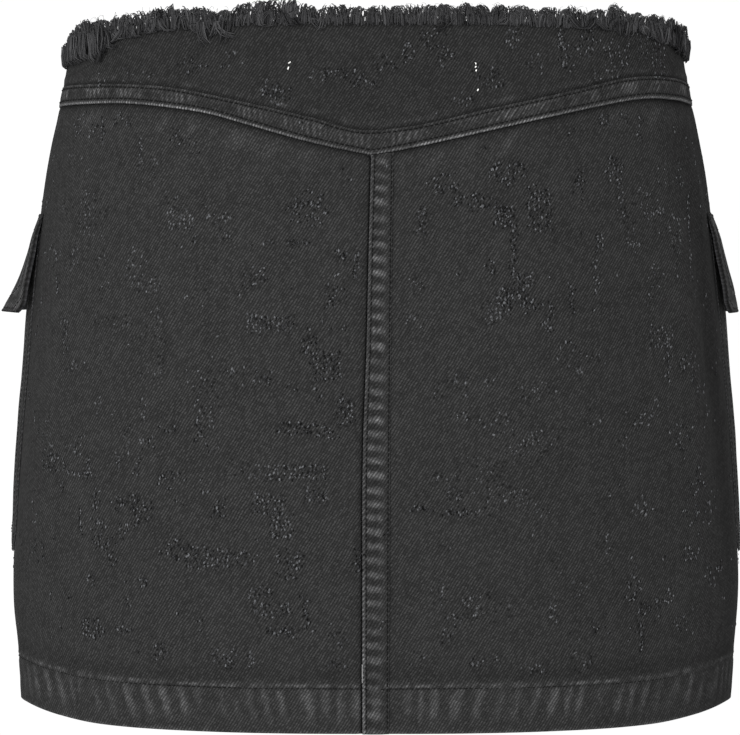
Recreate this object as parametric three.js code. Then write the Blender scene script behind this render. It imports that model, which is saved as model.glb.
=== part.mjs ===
// A washed denim mini skirt with a raw, frayed waist, in the hollow shape that it has when worn.
// Millimetres, +Z up. The origin is the middle of the waist opening at side seam level, where the
// wearer holds the garment. The garment's back faces -Y, and +X is the wearer's right.
// Places on the cloth are an angle round the body (0 at the centre back, 90 at the wearer's right
// side, 180 at the centre front, -90 at the left side) and a height above the hem's lowest point.
import * as THREE from "three";

const { clamp, degToRad, radToDeg, lerp, seededRandom, smoothstep } = THREE.MathUtils;

// Cloth and seams
const CLOTH = 1.5; // one layer of heavy washed denim
const SEAM_GAP = 0.3;
const FELL_LAYERS = 1.3; // what a felled seam adds to the cloth's thickness
const FELL_WIDTH = 11.5;
const HEM_TURN_UP = 24.6;
const HEM_LAYERS = 1.6;

// The body
const WAIST_HEIGHT = 333.5; // of the waist at the side seams
const ROUNDNESS = 2.2; // exponent of the superellipse that each level section follows
const BODY_STEP = 90 / 14; // degrees between the columns that all walls share
const BODY_ROWS = 14;
const SIDE_END = 89.9; // where a strip that spans the back or the front stops, short of the side seam

// Level sections of the worn cloth: half its width, and how far it stands behind and before the side seams
const SECTIONS = [
  { height: 0, halfWidth: 185.8, back: 113, front: 113 },
  { height: 25, halfWidth: 187.0, back: 114, front: 112 },
  { height: 50, halfWidth: 188.5, back: 115, front: 111 },
  { height: 75, halfWidth: 188.7, back: 115.5, front: 110 },
  { height: 100, halfWidth: 187.6, back: 116, front: 109.5 },
  { height: 135, halfWidth: 185.4, back: 117, front: 108.5 },
  { height: 175, halfWidth: 182.0, back: 115.5, front: 106 },
  { height: 215, halfWidth: 178.9, back: 112, front: 102 },
  { height: 253, halfWidth: 174.6, back: 105, front: 97 },
  { height: 280, halfWidth: 171.0, back: 98, front: 93 },
  { height: 310, halfWidth: 165.4, back: 90, front: 88 },
  { height: 333.5, halfWidth: 162.0, back: 84, front: 84 },
  { height: 360, halfWidth: 160.2, back: 79, front: 81 },
];

// The largest soft folds: each is a ridge, or a trough where its depth is negative
const FOLDS = [
  { angle: 58, height: 190, lean: -0.03, halfTurn: 6, halfHeight: 85, depth: 2.2 },
  { angle: 68, height: 180, lean: -0.03, halfTurn: 5, halfHeight: 90, depth: -2.0 },
  { angle: -62, height: 150, lean: 0.03, halfTurn: 8, halfHeight: 80, depth: 1.6 },
  { angle: -22, height: 262, lean: 0.2, halfTurn: 16, halfHeight: 22, depth: -1.4 },
  { angle: 26, height: 268, lean: -0.2, halfTurn: 16, halfHeight: 20, depth: -1.6 },
  { angle: 128, height: 283, lean: 0.5, halfTurn: 14, halfHeight: 14, depth: -1.8 },
  { angle: -130, height: 280, lean: -0.5, halfTurn: 13, halfHeight: 13, depth: -1.6 },
  { angle: 163, height: 75, lean: 0, halfTurn: 6, halfHeight: 80, depth: 2.2 },
  { angle: -161, height: 65, lean: 0, halfTurn: 6, halfHeight: 70, depth: 2.0 },
];

// Edges of the pieces, as heights above the hem
const YOKE_SEAM = [
  { angle: -90, height: 309.5 },
  { angle: -58, height: 309.5 },
  { angle: -46, height: 309.0 },
  { angle: -38.5, height: 305.8 },
  { angle: -19.5, height: 295.6 },
  { angle: -9.5, height: 288.0 },
  { angle: -0.5, height: 281.6 },
  { angle: 18, height: 294.0 },
  { angle: 33, height: 302.0 },
  { angle: 47, height: 309.0 },
  { angle: 58, height: 311.0 },
  { angle: 76, height: 310.0 },
  { angle: 90, height: 309.5 },
];
const RAW_EDGE = [
  { angle: -180, height: 322 },
  { angle: -130, height: 328 },
  { angle: -90, height: 332 },
  { angle: -75, height: 336 },
  { angle: -53, height: 342 },
  { angle: -43, height: 345 },
  { angle: -21, height: 347.4 },
  { angle: 0, height: 347 },
  { angle: 21, height: 347.4 },
  { angle: 55, height: 346 },
  { angle: 76, height: 340 },
  { angle: 90, height: 335 },
  { angle: 130, height: 329 },
  { angle: 180, height: 322 },
];
const HEM_RISE = [
  { turn: 0, height: 0 },
  { turn: 45, height: 0.2 },
  { turn: 62, height: 1.9 },
  { turn: 77, height: 5 },
  { turn: 90, height: 6 },
  { turn: 120, height: 4 },
  { turn: 180, height: 1 },
];
// The centre back seam line wanders towards the wearer's left on its way down
const CENTRE_BACK = [
  { height: 0, across: -6.8 },
  { height: 118, across: -6.8 },
  { height: 147, across: -6.3 },
  { height: 185, across: -4.8 },
  { height: 240, across: -3.6 },
  { height: 285, across: -2.4 },
];

// The fly, on the hidden front
const FLY_BOTTOM = 205;
const SHIELD = { right: 22, left: -40, thickness: 1.4, bottom: FLY_BOTTOM - 8, gap: 0.6 };
const BUTTON_PLACE = { across: -9, belowEdge: 17 };
const BUTTON = { radius: 8.5, shank: 4.8, height: 4.2, rim: 1.6, dish: 0.9, edge: 0.5 };

// Cargo pockets and their flaps, one on each side, just before the back's outline
const POCKET = { rearAngle: 79.5, width: 150, top: 243, bottom: 78, corner: 9, layers: 1.7, puff: 1.0 };
const FLAP = { overhang: 3, top: 253, bottom: 201.5, layers: 2.4, corner: 6 };
// Shares of a flap's width and height: where its rear edge is rounded in, where its front edge comes back
// to the pocket, and how far down it has risen over the pocket's mouth
const FLAP_SHARES = { rear: 0.13, front: 0.7, seat: 0.2 };
const SIDES = [
  { name: "left", sign: -1, flare: 15.5, rearFlare: 6.5, curl: 1.5 },
  { name: "right", sign: 1, flare: 9.2, rearFlare: 6.2, curl: 1.15 },
];

// The frayed edge: the length of its locks, how far out their middles and tips lean, and how far tips droop
const FRAY_ROOT = 1.2;
const FRAY_SEED = 36;
const LOCK_SWAY = 1.4; // how far round the body a lock's middle may lean; its tip leans twice as far
const FRAY = [
  { angle: -180, length: 6.5, middle: 1.5, tip: 2.5, droop: 0 },
  { angle: -96, length: 7.5, middle: 2.0, tip: 3.5, droop: 0.5 },
  { angle: -84, length: 10, middle: 5.5, tip: 9.5, droop: 7 },
  { angle: -70, length: 11, middle: 6.0, tip: 10, droop: 9 },
  { angle: -56, length: 8, middle: 4.0, tip: 6.5, droop: 4 },
  { angle: -44, length: 7, middle: 1.2, tip: 2.4, droop: 0.5 },
  { angle: -16, length: 8.8, middle: 0.6, tip: 2.0, droop: 0 },
  { angle: 0, length: 7.6, middle: 0.6, tip: 1.8, droop: 0 },
  { angle: 24, length: 7.4, middle: 0.4, tip: 1.6, droop: 0 },
  { angle: 62, length: 7.5, middle: 1.2, tip: 3.0, droop: 1 },
  { angle: 80, length: 9, middle: 4.5, tip: 8, droop: 6 },
  { angle: 96, length: 7, middle: 2.0, tip: 3.5, droop: 0.5 },
  { angle: 180, length: 6.5, middle: 1.5, tip: 2.5, droop: 0 },
];
const FRINGES = [
  { name: "fray_back", from: -90, to: 90, locks: 126 },
  { name: "fray_front_right", from: 90, to: 180, locks: 56 },
  { name: "fray_front_left", from: -180, to: -90, locks: 56 },
];

const DENIM = new THREE.MeshStandardMaterial({ color: "#363637", roughness: 0.94, metalness: 0 });
const DENIM_INSIDE = new THREE.MeshStandardMaterial({ color: "#4a4a4c", roughness: 0.96, metalness: 0 });
const RAW_THREAD = new THREE.MeshStandardMaterial({ color: "#45443f", roughness: 0.98, metalness: 0 });
const GUNMETAL = new THREE.MeshStandardMaterial({ color: "#4b4b4e", roughness: 0.42, metalness: 1 });

/** The index of the table's row that starts the stretch where `at` lies. */
function stretchOf(rows, by, at) {
  const next = rows.findIndex((row) => row[by] > at);
  return next < 0 ? rows.length - 2 : Math.max(next - 1, 0);
}

/** A broken line through a table's rows, as a function of the column `by`. */
function line(rows, by, column) {
  return (at) => {
    const i = stretchOf(rows, by, at);
    const share = clamp((at - rows[i][by]) / (rows[i + 1][by] - rows[i][by]), 0, 1);
    return lerp(rows[i][column], rows[i + 1][column], share);
  };
}

/** A smooth cubic curve through a table's rows, as a function of the column `by`. */
function curve(rows, by, column) {
  const slope = (i) => {
    const before = rows[Math.max(i - 1, 0)];
    const after = rows[Math.min(i + 1, rows.length - 1)];
    return (after[column] - before[column]) / (after[by] - before[by]);
  };
  return (at) => {
    const i = stretchOf(rows, by, at);
    const span = rows[i + 1][by] - rows[i][by];
    const t = clamp((at - rows[i][by]) / span, 0, 1);
    const rise = t * t * (3 - 2 * t);
    const bend = span * t * (1 - t) * ((1 - t) * slope(i) - t * slope(i + 1));
    return lerp(rows[i][column], rows[i + 1][column], rise) + bend;
  };
}

const halfWidthAt = curve(SECTIONS, "height", "halfWidth");
const backDepthAt = curve(SECTIONS, "height", "back");
const frontDepthAt = curve(SECTIONS, "height", "front");
const yokeSeamAt = line(YOKE_SEAM, "angle", "height");
const rawEdgeLine = line(RAW_EDGE, "angle", "height");
const hemLine = line(HEM_RISE, "turn", "height");
const centreBackAt = line(CENTRE_BACK, "height", "across");

/** The angle brought into -180 to 180 degrees. */
function wrapped(angle) {
  return angle > 180 ? angle - 360 : angle < -180 ? angle + 360 : angle;
}

/** The height of the raw waist edge. */
function rawEdgeAt(angle) {
  return rawEdgeLine(wrapped(angle));
}

/** The height of the hem's folded edge. */
function hemAt(angle) {
  return hemLine(Math.abs(wrapped(angle)));
}

/** How far the soft folds move the cloth out. */
function foldAt(angle, height) {
  return FOLDS.reduce((sum, fold) => {
    const turn = wrapped(angle - fold.angle - fold.lean * (height - fold.height)) / fold.halfTurn;
    const rise = (height - fold.height) / fold.halfHeight;
    return sum + fold.depth * Math.exp(-turn * turn - rise * rise);
  }, 0);
}

/** A power that keeps the number's sign. */
function signedPower(value, power) {
  return Math.sign(value) * Math.abs(value) ** power;
}

/** A point of the level section, without its folds. */
function sectionPoint(angle, height) {
  const across = Math.sin(degToRad(angle));
  const behind = Math.cos(degToRad(angle));
  const depth = behind > 0 ? backDepthAt(height) : frontDepthAt(height);
  return new THREE.Vector3(
    halfWidthAt(height) * signedPower(across, 2 / ROUNDNESS),
    -depth * signedPower(behind, 2 / ROUNDNESS),
    height,
  );
}

/** The direction straight out of the cloth. */
function outwardAt(angle, height) {
  const round = sectionPoint(angle + 0.5, height).sub(sectionPoint(angle - 0.5, height));
  const up = sectionPoint(angle, height + 1).sub(sectionPoint(angle, height - 1));
  return round.cross(up).normalize();
}

/** A point `out` mm outside the cloth's outer face. */
function clothPoint(angle, height, out) {
  const distance = out + foldAt(angle, height);
  return sectionPoint(angle, height).addScaledVector(outwardAt(angle, height), distance);
}

/** The turn in degrees that covers a short distance round the body. */
function turnFor(distance, angle, height) {
  const perDegree = sectionPoint(angle + 0.5, height).distanceTo(sectionPoint(angle - 0.5, height));
  return distance / perDegree;
}

/** The angle reached after going a distance round the body from `start`. */
function angleAfter(start, distance, height) {
  const steps = 60;
  let angle = start;
  for (let i = 0; i < steps; i++) angle += turnFor(distance / steps, angle, height);
  return angle;
}

/** The angle of a place `across` mm to the wearer's right of the centre back, or of the centre front. */
function angleAcross(across, height, front) {
  const share = signedPower(across / halfWidthAt(height), ROUNDNESS / 2);
  const turn = radToDeg(Math.asin(share));
  return front ? 180 - turn : turn;
}

/** The columns of a wall: its two edges, and the shared columns between them. */
function columnsBetween(first, last) {
  const from = typeof first === "function" ? first(WAIST_HEIGHT / 2) : first;
  const to = typeof last === "function" ? last(WAIST_HEIGHT / 2) : last;
  const closest = BODY_STEP * 0.35;
  const inner = [];
  for (let n = Math.ceil((from + closest) / BODY_STEP); n * BODY_STEP <= to - closest; n++)
    inner.push(n * BODY_STEP);
  return [first, ...inner, last];
}

/** A named mesh from its points and the indices of its triangles. */
function meshOf(name, points, faces, material) {
  const geometry = new THREE.BufferGeometry().setFromPoints(points);
  geometry.setIndex(faces);
  geometry.computeVertexNormals();
  const mesh = new THREE.Mesh(geometry, material);
  mesh.name = name;
  return mesh;
}

/** Two triangles that fill the four corners, given anticlockwise as seen from outside. */
function quad(a, b, c, d) {
  return [a, b, c, a, c, d];
}

/**
 * A wall of cloth between an outer and an inner face, closed round its rim.
 * Its columns are angles, or functions that give one from a height. Its bottom and top are heights as
 * functions of the angle, and inner and outer give how far out the faces lie, from an angle and a height.
 */
function wall({ name, columns, rows, bottom, top, inner, outer, material }) {
  const points = [];
  const last = { column: columns.length - 1, row: rows };
  for (const column of columns)
    for (let row = 0; row <= rows; row++) {
      const level = (angle) => lerp(bottom(angle), top(angle), row / rows);
      const middle = typeof column === "function" ? column(WAIST_HEIGHT / 2) : column;
      const angle = typeof column === "function" ? column(level(middle)) : column;
      const height = level(angle);
      points.push(clothPoint(angle, height, outer(angle, height)));
      points.push(clothPoint(angle, height, inner(angle, height)));
    }
  const out = (column, row) => 2 * (column * (rows + 1) + row);
  const within = (column, row) => out(column, row) + 1;
  const faces = [];
  const rim = (a, b) => faces.push(...quad(b, a, a + 1, b + 1));
  for (let c = 0; c < last.column; c++)
    for (let r = 0; r < rows; r++) {
      faces.push(...quad(out(c, r), out(c + 1, r), out(c + 1, r + 1), out(c, r + 1)));
      faces.push(...quad(within(c, r), within(c, r + 1), within(c + 1, r + 1), within(c + 1, r)));
    }
  for (let c = 0; c < last.column; c++) {
    rim(out(c, 0), out(c + 1, 0));
    rim(out(c + 1, last.row), out(c, last.row));
  }
  for (let r = 0; r < rows; r++) {
    rim(out(last.column, r), out(last.column, r + 1));
    rim(out(0, r + 1), out(0, r));
  }
  return meshOf(name, points, faces, material);
}

/** A single layer of the body's cloth. */
function clothLayer(name, first, last, rows, bottom, top) {
  const columns = columnsBetween(first, last);
  const inner = () => -CLOTH;
  const outer = () => 0;
  return wall({ name, columns, rows, bottom, top, inner, outer, material: DENIM });
}

/** The angle of a seam edge, half a seam gap to one side of the line. */
function besideSeam(lineAngle, side) {
  return (height) => {
    const angle = lineAngle(height);
    return angle + side * turnFor(SEAM_GAP / 2, angle, height);
  };
}

const centreBackAngle = (height) => angleAcross(centreBackAt(height), height, false);
const SEAM_LINES = {
  centreBack: centreBackAngle,
  rightSide: () => 90,
  centreFront: () => 180,
  centreFrontFromLeft: () => -180,
  leftSide: () => -90,
};

/** The V-shaped yoke, from side seam to side seam. */
function backYoke() {
  const first = besideSeam(SEAM_LINES.leftSide, 1);
  const last = besideSeam(SEAM_LINES.rightSide, -1);
  const bottom = (angle) => yokeSeamAt(angle) + SEAM_GAP / 2;
  return clothLayer("back_yoke", first, last, 3, bottom, rawEdgeAt);
}

/** One of the two back panels, below the yoke. */
function backPanel(name, firstSeam, lastSeam) {
  const top = (angle) => yokeSeamAt(angle) - SEAM_GAP / 2;
  const first = besideSeam(firstSeam, 1);
  const last = besideSeam(lastSeam, -1);
  return clothLayer(name, first, last, BODY_ROWS, hemAt, top);
}

/** One of the two front panels, from the hem to the raw waist edge. */
function frontPanel(name, firstSeam, lastSeam) {
  const first = besideSeam(firstSeam, 1);
  const last = besideSeam(lastSeam, -1);
  return clothLayer(name, first, last, BODY_ROWS, hemAt, rawEdgeAt);
}

/** A felled seam: extra layers on the outside of the cloth. */
function felledSeam(name, columns, rows, bottom, top) {
  const inner = () => SEAM_GAP;
  const outer = () => SEAM_GAP + FELL_LAYERS;
  return wall({ name, columns, rows, bottom, top, inner, outer, material: DENIM });
}

/** The double-stitched band along the yoke's lower edge. */
function yokeFell() {
  const bottom = (angle) => yokeSeamAt(angle) + SEAM_GAP / 2;
  const top = (angle) => yokeSeamAt(angle) + FELL_WIDTH;
  return felledSeam("yoke_fell", columnsBetween(-SIDE_END, SIDE_END), 1, bottom, top);
}

/** The centre back fell, to the right of its seam line. */
function centreBackFell() {
  const rightEdge = (height) => angleAcross(centreBackAt(height) + FELL_WIDTH, height, false);
  const top = (angle) => yokeSeamAt(angle) - SEAM_GAP / 2;
  return felledSeam("centre_back_fell", [centreBackAngle, rightEdge], BODY_ROWS, hemAt, top);
}

/** The centre front fell, from the hem to the fly's lower end. */
function centreFrontFell() {
  const leftEdge = (height) => angleAcross(-FELL_WIDTH, height, true);
  return felledSeam("centre_front_fell", [180, leftEdge], BODY_ROWS, hemAt, () => FLY_BOTTOM);
}

/** The underlap behind the fly opening. */
function flyShield() {
  const edge = (across) => (height) => angleAcross(across, height, true);
  const columns = columnsBetween(edge(SHIELD.right), edge(SHIELD.left));
  const outer = () => -CLOTH - SHIELD.gap;
  const inner = () => -CLOTH - SHIELD.gap - SHIELD.thickness;
  const bottom = () => SHIELD.bottom;
  const top = (angle) => rawEdgeAt(angle) - 1;
  return wall({ name: "fly_shield", columns, rows: 6, bottom, top, inner, outer, material: DENIM_INSIDE });
}

/** The shank button at the top of the fly: a dished head turned about its own axis. */
function waistButton() {
  const { radius, shank, height, rim, dish, edge } = BUTTON;
  const under = height - 2 * rim;
  const profile = [
    [0, 0],
    [shank, 0],
    [shank, under],
    [radius, under + edge],
    [radius, height - edge],
    [radius - edge, height],
    [radius - rim, height],
    [radius - rim - dish, height - dish],
    [0, height - dish],
  ].map(([across, up]) => new THREE.Vector2(across, up));
  const mesh = new THREE.Mesh(new THREE.LatheGeometry(profile, 24), GUNMETAL);
  mesh.name = "waist_button";
  const level = rawEdgeAt(180) - BUTTON_PLACE.belowEdge;
  const angle = angleAcross(BUTTON_PLACE.across, level, true);
  mesh.position.copy(clothPoint(angle, level, SEAM_GAP));
  mesh.quaternion.setFromUnitVectors(new THREE.Vector3(0, 1, 0), outwardAt(angle, level));
  return mesh;
}

/** The hem allowance, turned up inside the panels. */
function hemFold(name, first, last) {
  const columns = columnsBetween(first, last);
  const outer = () => -CLOTH - SEAM_GAP;
  const inner = () => -CLOTH - SEAM_GAP - HEM_LAYERS;
  const top = (angle) => hemAt(angle) + HEM_TURN_UP;
  return wall({ name, columns, rows: 2, bottom: hemAt, top, inner, outer, material: DENIM_INSIDE });
}

/** The angles of a side piece's columns, from its rear edge forwards, in the order that a wall needs. */
function sideColumns(sign, overhang) {
  const middle = (POCKET.top + POCKET.bottom) / 2;
  const rear = POCKET.rearAngle - turnFor(overhang, POCKET.rearAngle, middle);
  const front = angleAfter(POCKET.rearAngle, POCKET.width + overhang, middle);
  return sign > 0 ? columnsBetween(rear, front) : columnsBetween(-front, -rear);
}

/** How far along a side piece an angle lies: 0 at its rear edge, 1 at its front edge. */
function shareAlong(columns, sign, angle) {
  const share = (angle - columns[0]) / (columns[columns.length - 1] - columns[0]);
  return clamp(sign > 0 ? share : 1 - share, 0, 1);
}

/** How much a side piece's lower edge rises where its corners are cut off. */
function cornerCut(columns, sign, angle, cut) {
  const along = shareAlong(columns, sign, angle) * POCKET.width;
  return Math.max(cut - Math.min(along, POCKET.width - along), 0);
}

/** A cargo patch pocket, which lies on the side of the skirt. */
function pocket({ name, sign }) {
  const columns = sideColumns(sign, 0);
  const fullness = (angle, height) => {
    const along = Math.sin(Math.PI * shareAlong(columns, sign, angle));
    const up = Math.sin(Math.PI * clamp((height - POCKET.bottom) / (POCKET.top - POCKET.bottom), 0, 1));
    return POCKET.puff * Math.sqrt(along * up);
  };
  return wall({
    name: `pocket_${name}`,
    columns,
    rows: 8,
    bottom: (angle) => POCKET.bottom + cornerCut(columns, sign, angle, POCKET.corner),
    top: () => POCKET.top,
    inner: () => SEAM_GAP,
    outer: (angle, height) => SEAM_GAP + POCKET.layers + fullness(angle, height),
    material: DENIM,
  });
}

/** A pocket flap, sewn on above the pocket, which stands off the skirt towards its lower edge. */
function flap({ name, sign, flare, rearFlare, curl }) {
  const columns = sideColumns(sign, FLAP.overhang);
  const overPocket = SEAM_GAP + POCKET.layers + POCKET.puff + SEAM_GAP;
  const standOff = (angle, height) => {
    const along = shareAlong(columns, sign, angle);
    const down = clamp((FLAP.top - height) / (FLAP.top - FLAP.bottom), 0, 1);
    const lowest = lerp(rearFlare, flare, smoothstep(along, 0, FLAP_SHARES.rear)) - FLAP.layers;
    const reach = lerp(lowest, overPocket, smoothstep(along, FLAP_SHARES.front, 1));
    const seated = lerp(SEAM_GAP, overPocket, smoothstep(down, 0, FLAP_SHARES.seat));
    return seated + Math.max(reach - overPocket, 0) * down ** curl;
  };
  return wall({
    name: `flap_${name}`,
    columns,
    rows: 5,
    bottom: (angle) => FLAP.bottom + cornerCut(columns, sign, angle, FLAP.corner),
    top: () => FLAP.top,
    inner: standOff,
    outer: (angle, height) => standOff(angle, height) + FLAP.layers,
    material: DENIM,
  });
}

/** Angles that cut the girth at the waist between two angles into equal lengths of cloth. */
function evenAngles(from, to, count) {
  const samples = 360;
  const at = (i) => lerp(from, to, i / samples);
  const lengths = [0];
  for (let i = 1; i <= samples; i++) {
    const step = sectionPoint(at(i), WAIST_HEIGHT).distanceTo(sectionPoint(at(i - 1), WAIST_HEIGHT));
    lengths.push(lengths[i - 1] + step);
  }
  const table = lengths.map((length, i) => ({ length, angle: at(i) }));
  const angleAt = line(table, "length", "angle");
  return Array.from({ length: count + 1 }, (_, i) => angleAt((lengths[samples] * i) / count));
}

/** The middle ring and the tip of one lock of frayed threads, grown from its four root corners. */
function growLock(corners, angle, sway) {
  const read = (column) => curve(FRAY, "angle", column)(wrapped(angle));
  const vary = (spread) => 1 + spread * (2 * seededRandom() - 1);
  const root = corners.reduce((sum, corner) => sum.add(corner), new THREE.Vector3()).divideScalar(4);
  const outward = outwardAt(angle, WAIST_HEIGHT).setZ(0).normalize();
  const sideways = new THREE.Vector3(0, 0, 1).cross(outward);
  const length = read("length") * vary(0.3);
  const lean = sway * (2 * seededRandom() - 1);
  const middle = root
    .clone()
    .addScaledVector(outward, read("middle") * vary(0.3))
    .addScaledVector(sideways, lean)
    .setZ(root.z + length * 0.6);
  const tip = root
    .clone()
    .addScaledVector(outward, read("tip") * vary(0.3))
    .addScaledVector(sideways, 2 * lean)
    .setZ(root.z + length - read("droop") * vary(0.25));
  const narrow = 0.62;
  const ring = corners.map((corner) => corner.clone().sub(root).multiplyScalar(narrow).add(middle));
  return { ring, tip };
}

/** A frayed edge: locks that are fused at their roots into a narrow strip just above the raw edge. */
function fringe({ name, from, to, locks }) {
  const edge = turnFor(SEAM_GAP / 2, from, WAIST_HEIGHT);
  const angles = evenAngles(from + edge, to - edge, locks);
  const points = [];
  const faces = [];
  for (const angle of angles) {
    const low = rawEdgeAt(angle) + SEAM_GAP;
    for (const height of [low, low + FRAY_ROOT])
      points.push(clothPoint(angle, height, 0), clothPoint(angle, height, -CLOTH));
  }
  const corner = (column, up, inside) => 4 * column + 2 * up + inside;
  for (let c = 0; c < locks; c++) {
    faces.push(...quad(corner(c, 0, 0), corner(c + 1, 0, 0), corner(c + 1, 1, 0), corner(c, 1, 0)));
    faces.push(...quad(corner(c, 1, 1), corner(c + 1, 1, 1), corner(c + 1, 0, 1), corner(c, 0, 1)));
    faces.push(...quad(corner(c, 0, 1), corner(c + 1, 0, 1), corner(c + 1, 0, 0), corner(c, 0, 0)));
    const roots = [corner(c, 1, 0), corner(c + 1, 1, 0), corner(c + 1, 1, 1), corner(c, 1, 1)];
    const middleAngle = (angles[c] + angles[c + 1]) / 2;
    const atEnd = c === 0 || c === locks - 1;
    const { ring, tip } = growLock(roots.map((root) => points[root]), middleAngle, atEnd ? 0 : LOCK_SWAY);
    const first = points.push(...ring, tip) - 5;
    for (let side = 0; side < 4; side++) {
      const next = (side + 1) % 4;
      faces.push(...quad(roots[side], roots[next], first + next, first + side));
      faces.push(first + side, first + next, first + 4);
    }
  }
  faces.push(...quad(corner(0, 0, 1), corner(0, 0, 0), corner(0, 1, 0), corner(0, 1, 1)));
  faces.push(...quad(corner(locks, 0, 0), corner(locks, 0, 1), corner(locks, 1, 1), corner(locks, 1, 0)));
  return meshOf(name, points, faces, RAW_THREAD);
}

/** The whole skirt, drawn up from its hem. */
function skirtAboveHem() {
  const group = new THREE.Group();
  const { leftSide, centreBack, rightSide, centreFront, centreFrontFromLeft } = SEAM_LINES;
  group.add(backYoke(), yokeFell(), centreBackFell());
  group.add(backPanel("back_panel_left", leftSide, centreBack));
  group.add(backPanel("back_panel_right", centreBack, rightSide));
  group.add(frontPanel("front_panel_right", rightSide, centreFront));
  group.add(frontPanel("front_panel_left", centreFrontFromLeft, leftSide));
  group.add(centreFrontFell(), flyShield(), waistButton());
  group.add(hemFold("hem_fold_back", -SIDE_END, SIDE_END));
  group.add(hemFold("hem_fold_front", 180 - SIDE_END, 180 + SIDE_END));
  for (const side of SIDES) group.add(pocket(side), flap(side));
  seededRandom(FRAY_SEED);
  for (const stretch of FRINGES) group.add(fringe(stretch));
  return group;
}

const skirt = new THREE.Group();
const aboveHem = skirtAboveHem();
aboveHem.position.z = -WAIST_HEIGHT;
skirt.add(aboveHem);

export default skirt;
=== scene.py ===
"""A washed black denim mini skirt, worn, with a frayed raw waist, a V-shaped back yoke and side pockets.

A place on the cloth is an angle round the body in degrees (0 at the centre back, 90 at the wearer's
right side, 180 at the centre front) and a height in millimetres above the hem's lowest point. The
cloth is worked out in millimetres and becomes the frame's metres when a mesh is made from it.
"""

from __future__ import annotations

import logging
import math
from dataclasses import dataclass, field
from enum import Enum
from typing import Any, Callable, NamedTuple, Sequence

import bpy
import numpy as np
from bpy.types import Material, Mesh, Node, NodeSocket, NodeTree, Object
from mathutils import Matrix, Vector

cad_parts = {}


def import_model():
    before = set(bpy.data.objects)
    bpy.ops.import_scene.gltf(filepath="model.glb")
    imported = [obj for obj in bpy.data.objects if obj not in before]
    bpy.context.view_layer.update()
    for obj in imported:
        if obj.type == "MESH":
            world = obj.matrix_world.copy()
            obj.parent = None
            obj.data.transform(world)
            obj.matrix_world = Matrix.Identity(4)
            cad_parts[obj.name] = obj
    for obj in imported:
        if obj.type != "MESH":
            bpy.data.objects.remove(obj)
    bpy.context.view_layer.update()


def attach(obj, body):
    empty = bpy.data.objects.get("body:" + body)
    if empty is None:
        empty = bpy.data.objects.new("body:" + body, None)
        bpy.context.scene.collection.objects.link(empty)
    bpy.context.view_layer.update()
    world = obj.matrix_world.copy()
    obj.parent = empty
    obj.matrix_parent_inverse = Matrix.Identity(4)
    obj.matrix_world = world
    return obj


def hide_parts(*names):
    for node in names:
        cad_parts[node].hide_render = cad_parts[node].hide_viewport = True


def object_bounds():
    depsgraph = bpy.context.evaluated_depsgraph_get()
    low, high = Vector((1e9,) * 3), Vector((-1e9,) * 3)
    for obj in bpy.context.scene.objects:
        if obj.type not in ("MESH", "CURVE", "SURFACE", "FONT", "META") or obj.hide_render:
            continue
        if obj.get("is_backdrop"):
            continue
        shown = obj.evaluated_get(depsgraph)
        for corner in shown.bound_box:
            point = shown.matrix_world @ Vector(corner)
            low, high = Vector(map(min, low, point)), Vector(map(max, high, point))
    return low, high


Array = np.ndarray
Reading = Callable[[Array], Array]
Density = Callable[["Places"], Array]
Dice = np.random.Generator

LOG = logging.getLogger("denim_skirt")
MM = 0.001
BODY = "root"
UV_MAP = "cloth"

# The cut and the seams, in millimetres
WAIST_HEIGHT = 333.5
CLOTH = 1.5
SEAM_GAP = 0.3
FELL_LAYERS = 1.3
FELL_WIDTH = 11.5
HEM_TURN_UP = 24.6
HEM_LAYERS = 1.6
SIDE_END = 89.9
FLY_BOTTOM = 205.0
HEM_ROW = 22.2
YOKE_ROW_INSET = 1.6

# The front panels' sides, in degrees, a little under the back panels
FRONT_SIDE = 89.78

# How many nicks there are: beads to each one that a patch counts, patches in front, and single ones
BEADS_A_NICK = 2.05
FRONT_PATCHES = 90
STRAYS = 500


class Slot(Enum):
    """The record's material slots."""

    DENIM = "denim"
    INSIDE = "denim_inside"
    YARN = "yarn"
    METAL = "button_metal"


class Layout(Enum):
    """How the nicks of a patch lie."""

    SCATTER = "scatter"
    GRID = "grid"
    CHAIN_DOWN = "chain down"
    CHAIN_ROUND = "chain round"


class Section(NamedTuple):
    """A level section of the worn cloth: half its width, and its reach behind and before the side seams."""

    height: float
    half_width: float
    back: float
    front: float


class Fold(NamedTuple):
    """A soft ridge in the cloth, or a trough where its depth is negative."""

    angle: float
    height: float
    lean: float
    half_turn: float
    half_height: float
    depth: float


class Edge(NamedTuple):
    """One point of an edge or a seam."""

    angle: float
    height: float


class Across(NamedTuple):
    """One point of an upright line near the centre back, from its distance to the wearer's right."""

    height: float
    across: float


class Strength(NamedTuple):
    """How strong something is at an angle."""

    angle: float
    amount: float


class Patch(NamedTuple):
    """A patch of nicked threads, by its middle, its size, and how many nicks it has."""

    across: float
    height: float
    wide: float
    tall: float
    count: int
    layout: Layout = Layout.SCATTER


def table(kind: Callable[..., Any], *rows: tuple[Any, ...]) -> tuple[Any, ...]:
    """A table, from the plain values of its rows."""
    return tuple(kind(*row) for row in rows)


SECTIONS = table(
    Section,
    (0, 185.8, 113, 113), (25, 187.0, 114, 112), (50, 188.5, 115, 111), (75, 188.7, 115.5, 110),
    (100, 187.6, 116, 109.5), (135, 185.4, 117, 108.5), (175, 182.0, 115.5, 106), (215, 178.9, 112, 102),
    (253, 174.6, 105, 97), (280, 170.6, 98, 93), (310, 164.2, 90, 88), (333.5, 160.0, 84, 84),
    (360, 157.4, 79, 81),
)

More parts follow.
